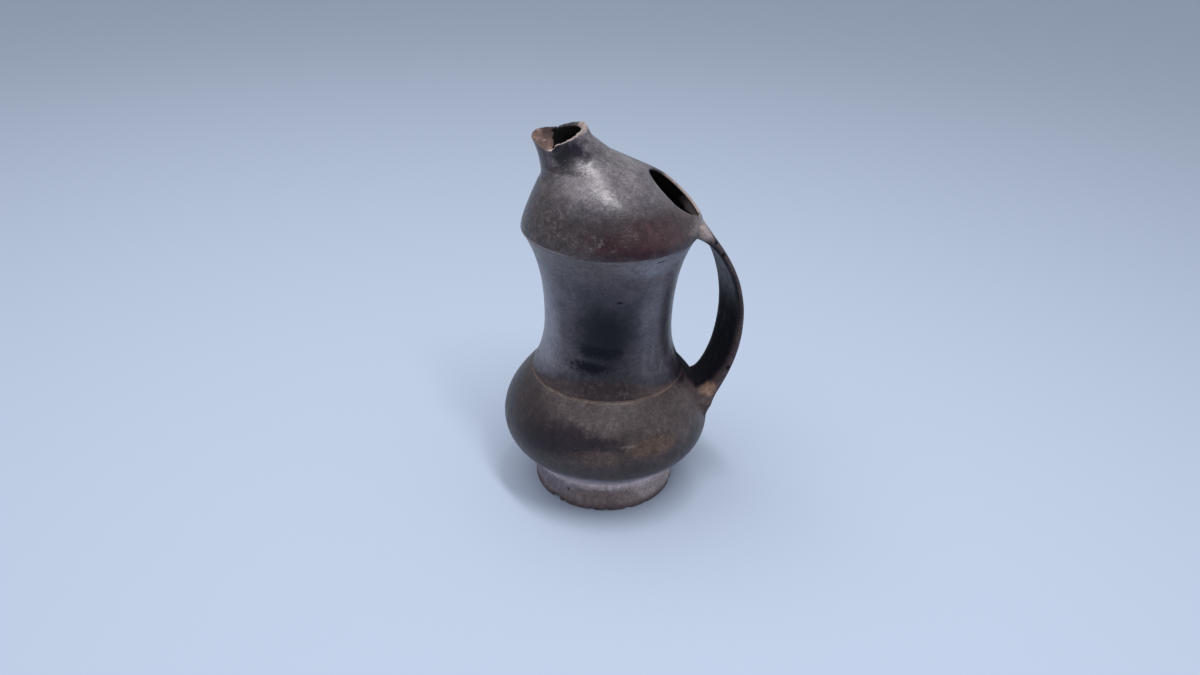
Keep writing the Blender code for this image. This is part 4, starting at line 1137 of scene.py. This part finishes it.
def build_handle():
    """Strap handle, flared where its roots were smeared on to the hood and the belly."""
    top, foot = -arc_length(HANDLE_TOP), arc_length(HANDLE_FOOT)
    places = np.linspace(top - HANDLE_SINK, foot + 2.0 * ROOT_LENGTH, HANDLE_ROWS)
    turns = (np.arange(STRAP_SIDES) + 0.5) * math.tau / STRAP_SIDES
    flat = np.sign(np.cos(turns)) * np.sqrt(np.abs(np.cos(turns)))
    deep = np.sign(np.sin(turns)) * np.sqrt(np.abs(np.sin(turns)))
    loops = []
    for place in places:
        radius = arc_radius(HANDLE_FOOT if place > 0.0 else HANDLE_TOP)
        turn = place / radius
        out = np.array((math.cos(turn), 0.0, -math.sin(turn)))
        middle = np.array((APEX.x - radius, 0.0, APEX.y)) + radius * out
        share = min(max((place - top) / (foot - top), 0.0), 1.0)
        twist = math.radians(HANDLE_TWIST) * math.sin(math.pi * share)
        wide = ACROSS * math.cos(twist) + out * math.sin(twist)
        thick = out * math.cos(twist) - ACROSS * math.sin(twist)
        near_top = math.exp(-max(place - top, 0.0) / ROOT_LENGTH)
        near_foot = math.exp(-max(foot - place, 0.0) / ROOT_LENGTH)
        flare = TOP_FLARE * near_top + FOOT_FLARE * near_foot * (0.72 - 0.28 * flat)
        spread = TOP_SPREAD * near_top + FOOT_SPREAD * near_foot**1.5 * (0.6 - 0.4 * flat)
        at_end = math.exp(-(((place - top + HANDLE_SINK) / END_ROUNDING) ** 2))
        half_width = (HANDLE_WIDTH / 2.0 + spread) * (1.0 - END_TAPER * at_end)
        swell = min(max(0.0, place) / foot, 1.0)
        depth = HANDLE_TOP_THICKNESS + (HANDLE_FOOT_THICKNESS - HANDLE_TOP_THICKNESS) * swell
        inner_half = depth / 2.0 + flare
        outer_half = depth / 2.0 + OUTER_FLARE * FOOT_FLARE * near_foot
        half = np.where(deep > 0.0, outer_half, inner_half)
        loop = middle + wide * (flat * half_width)[:, None] + thick * (deep * half)[:, None]
        upward = np.array((math.sin(turn), 0.0, math.cos(turn)))
        round_back = near_top * (flat * half_width) ** 2 / (2.0 * HOOD_RADIUS)
        loop += upward * round_back[:, None]
        loops.append(loop)
    loops = uneven(np.array(loops), STRAP_SEED, np.full(len(places), STRAP_WOBBLE))
    level = np.hypot(loops[..., 0], loops[..., 1])
    wall = wall_radius(loops[..., 2])
    clear = level - wall
    past_foot = smooth_step(foot + ROOT_LENGTH, foot + 2.0 * ROOT_LENGTH, places)[:, None]
    smeared = smeared_on(clear, smooth_step(-0.1, 0.7, deep), past_foot)
    at_foot = smooth_step(0.45 * foot, 0.75 * foot, places)[:, None]
    clear = np.maximum(clear, -ROOT_BURY) * (1.0 - at_foot) + smeared * at_foot
    loops[..., :2] *= ((wall + clear) / level)[..., None]
    from_top, from_foot = np.maximum(places - top, 0.0), np.maximum(foot - places, 0.0)
    rubbed = np.clip(1.2 * np.abs(flat) ** 6 * np.where(deep > 0.0, 1.0, 0.4), 0.0, 1.0)
    layers = {
        "wear": np.tile(rubbed, len(places)),
        "palm": np.tile(smooth_step(0.8, 0.95, -deep), len(places)),
        "side": np.tile(smooth_step(0.8, 0.97, np.abs(flat)), len(places)),
        "top_root": np.repeat(np.exp(-from_top / ROOT_FADE), STRAP_SIDES),
        "foot_root": np.repeat(np.exp(-from_foot / ROOT_FADE), STRAP_SIDES),
    }
    faces = loop_faces(len(places), STRAP_SIDES, False)
    last = (len(places) - 1) * STRAP_SIDES
    for k in range(STRAP_SIDES // 2 - 1):
        end = (k, STRAP_SIDES - 1 - k, STRAP_SIDES - 2 - k, k + 1)
        faces.append(end)
        faces.append(tuple(last + index for index in reversed(end)))
    nodes = ("handle", "handle_top_luting", "handle_foot_luting")
    make_piece("handle_strap", loops, faces, layers, handle_clay(), "handle_clay", *nodes)


def build_stage():
    """Plain pale floor, soft light from overhead, and the camera at the photograph's angle."""
    bm = bmesh.new()
    bmesh.ops.create_circle(bm, cap_ends=True, segments=FLOOR_SEGMENTS, radius=FLOOR_RADIUS)
    mesh = bpy.data.meshes.new("floor")
    bm.to_mesh(mesh)
    bm.free()
    mesh.materials.append(Clay("floor", FLOOR_COLOUR, roughness=0.9, specular=0.1).done())
    floor = add_object("floor", mesh)

    world = bpy.data.worlds.new("sky")
    world.use_nodes = True
    sky = world.node_tree.nodes["Background"]
    sky.inputs["Color"].default_value = (*SKY_COLOUR, 1.0)
    sky.inputs["Strength"].default_value = SKY_STRENGTH
    bpy.context.scene.world = world

    add_lamp("ceiling", azimuth=165.0, elevation=73.0, distance=1.3, width=1.2, length=1.2, power=7.2)
    add_lamp("strip", azimuth=-63.0, elevation=71.0, distance=1.08, width=0.12, length=0.74, power=6.2)

    camera = bpy.data.cameras.new("camera")
    camera.lens = LENS
    camera.sensor_width = SENSOR
    eye = add_object("camera", camera)
    stand = Matrix.Translation((AXIS_X, 0.0, 0.0)) @ Matrix.Rotation(math.radians(CAMERA_TURN), 4, "Z")
    stand = stand @ Matrix.Translation((0.0, -CAMERA_DISTANCE, CAMERA_HEIGHT))
    aim = Matrix.Rotation(math.radians(-CAMERA_YAW), 4, "Z")
    aim = aim @ Matrix.Rotation(math.radians(90.0 - CAMERA_PITCH), 4, "X")
    aim = aim @ Matrix.Rotation(math.radians(CAMERA_ROLL), 4, "Z")
    eye.matrix_world = stand @ aim
    bpy.context.scene.camera = eye
    bpy.context.scene.view_settings.view_transform = "Standard"


def add_lamp(name, azimuth, elevation, distance, width, length, power):
    """A soft lamp that faces the middle of the jug."""
    target = Vector((AXIS_X, 0.0, WAIST_HEIGHT))
    turn, rise = math.radians(azimuth), math.radians(elevation)
    away = Vector((math.cos(turn) * math.cos(rise), math.sin(turn) * math.cos(rise), math.sin(rise)))
    light = bpy.data.lights.new(name, "AREA")
    light.shape = "RECTANGLE"
    light.size = width
    light.size_y = length
    light.energy = power
    lamp = add_object(name, light)
    lamp.location = target + away * distance
    lamp.rotation_euler = away.to_track_quat("Z", "Y").to_euler()


build_foot()
build_belly()
build_neck()
build_hood()
build_handle()
build_stage()
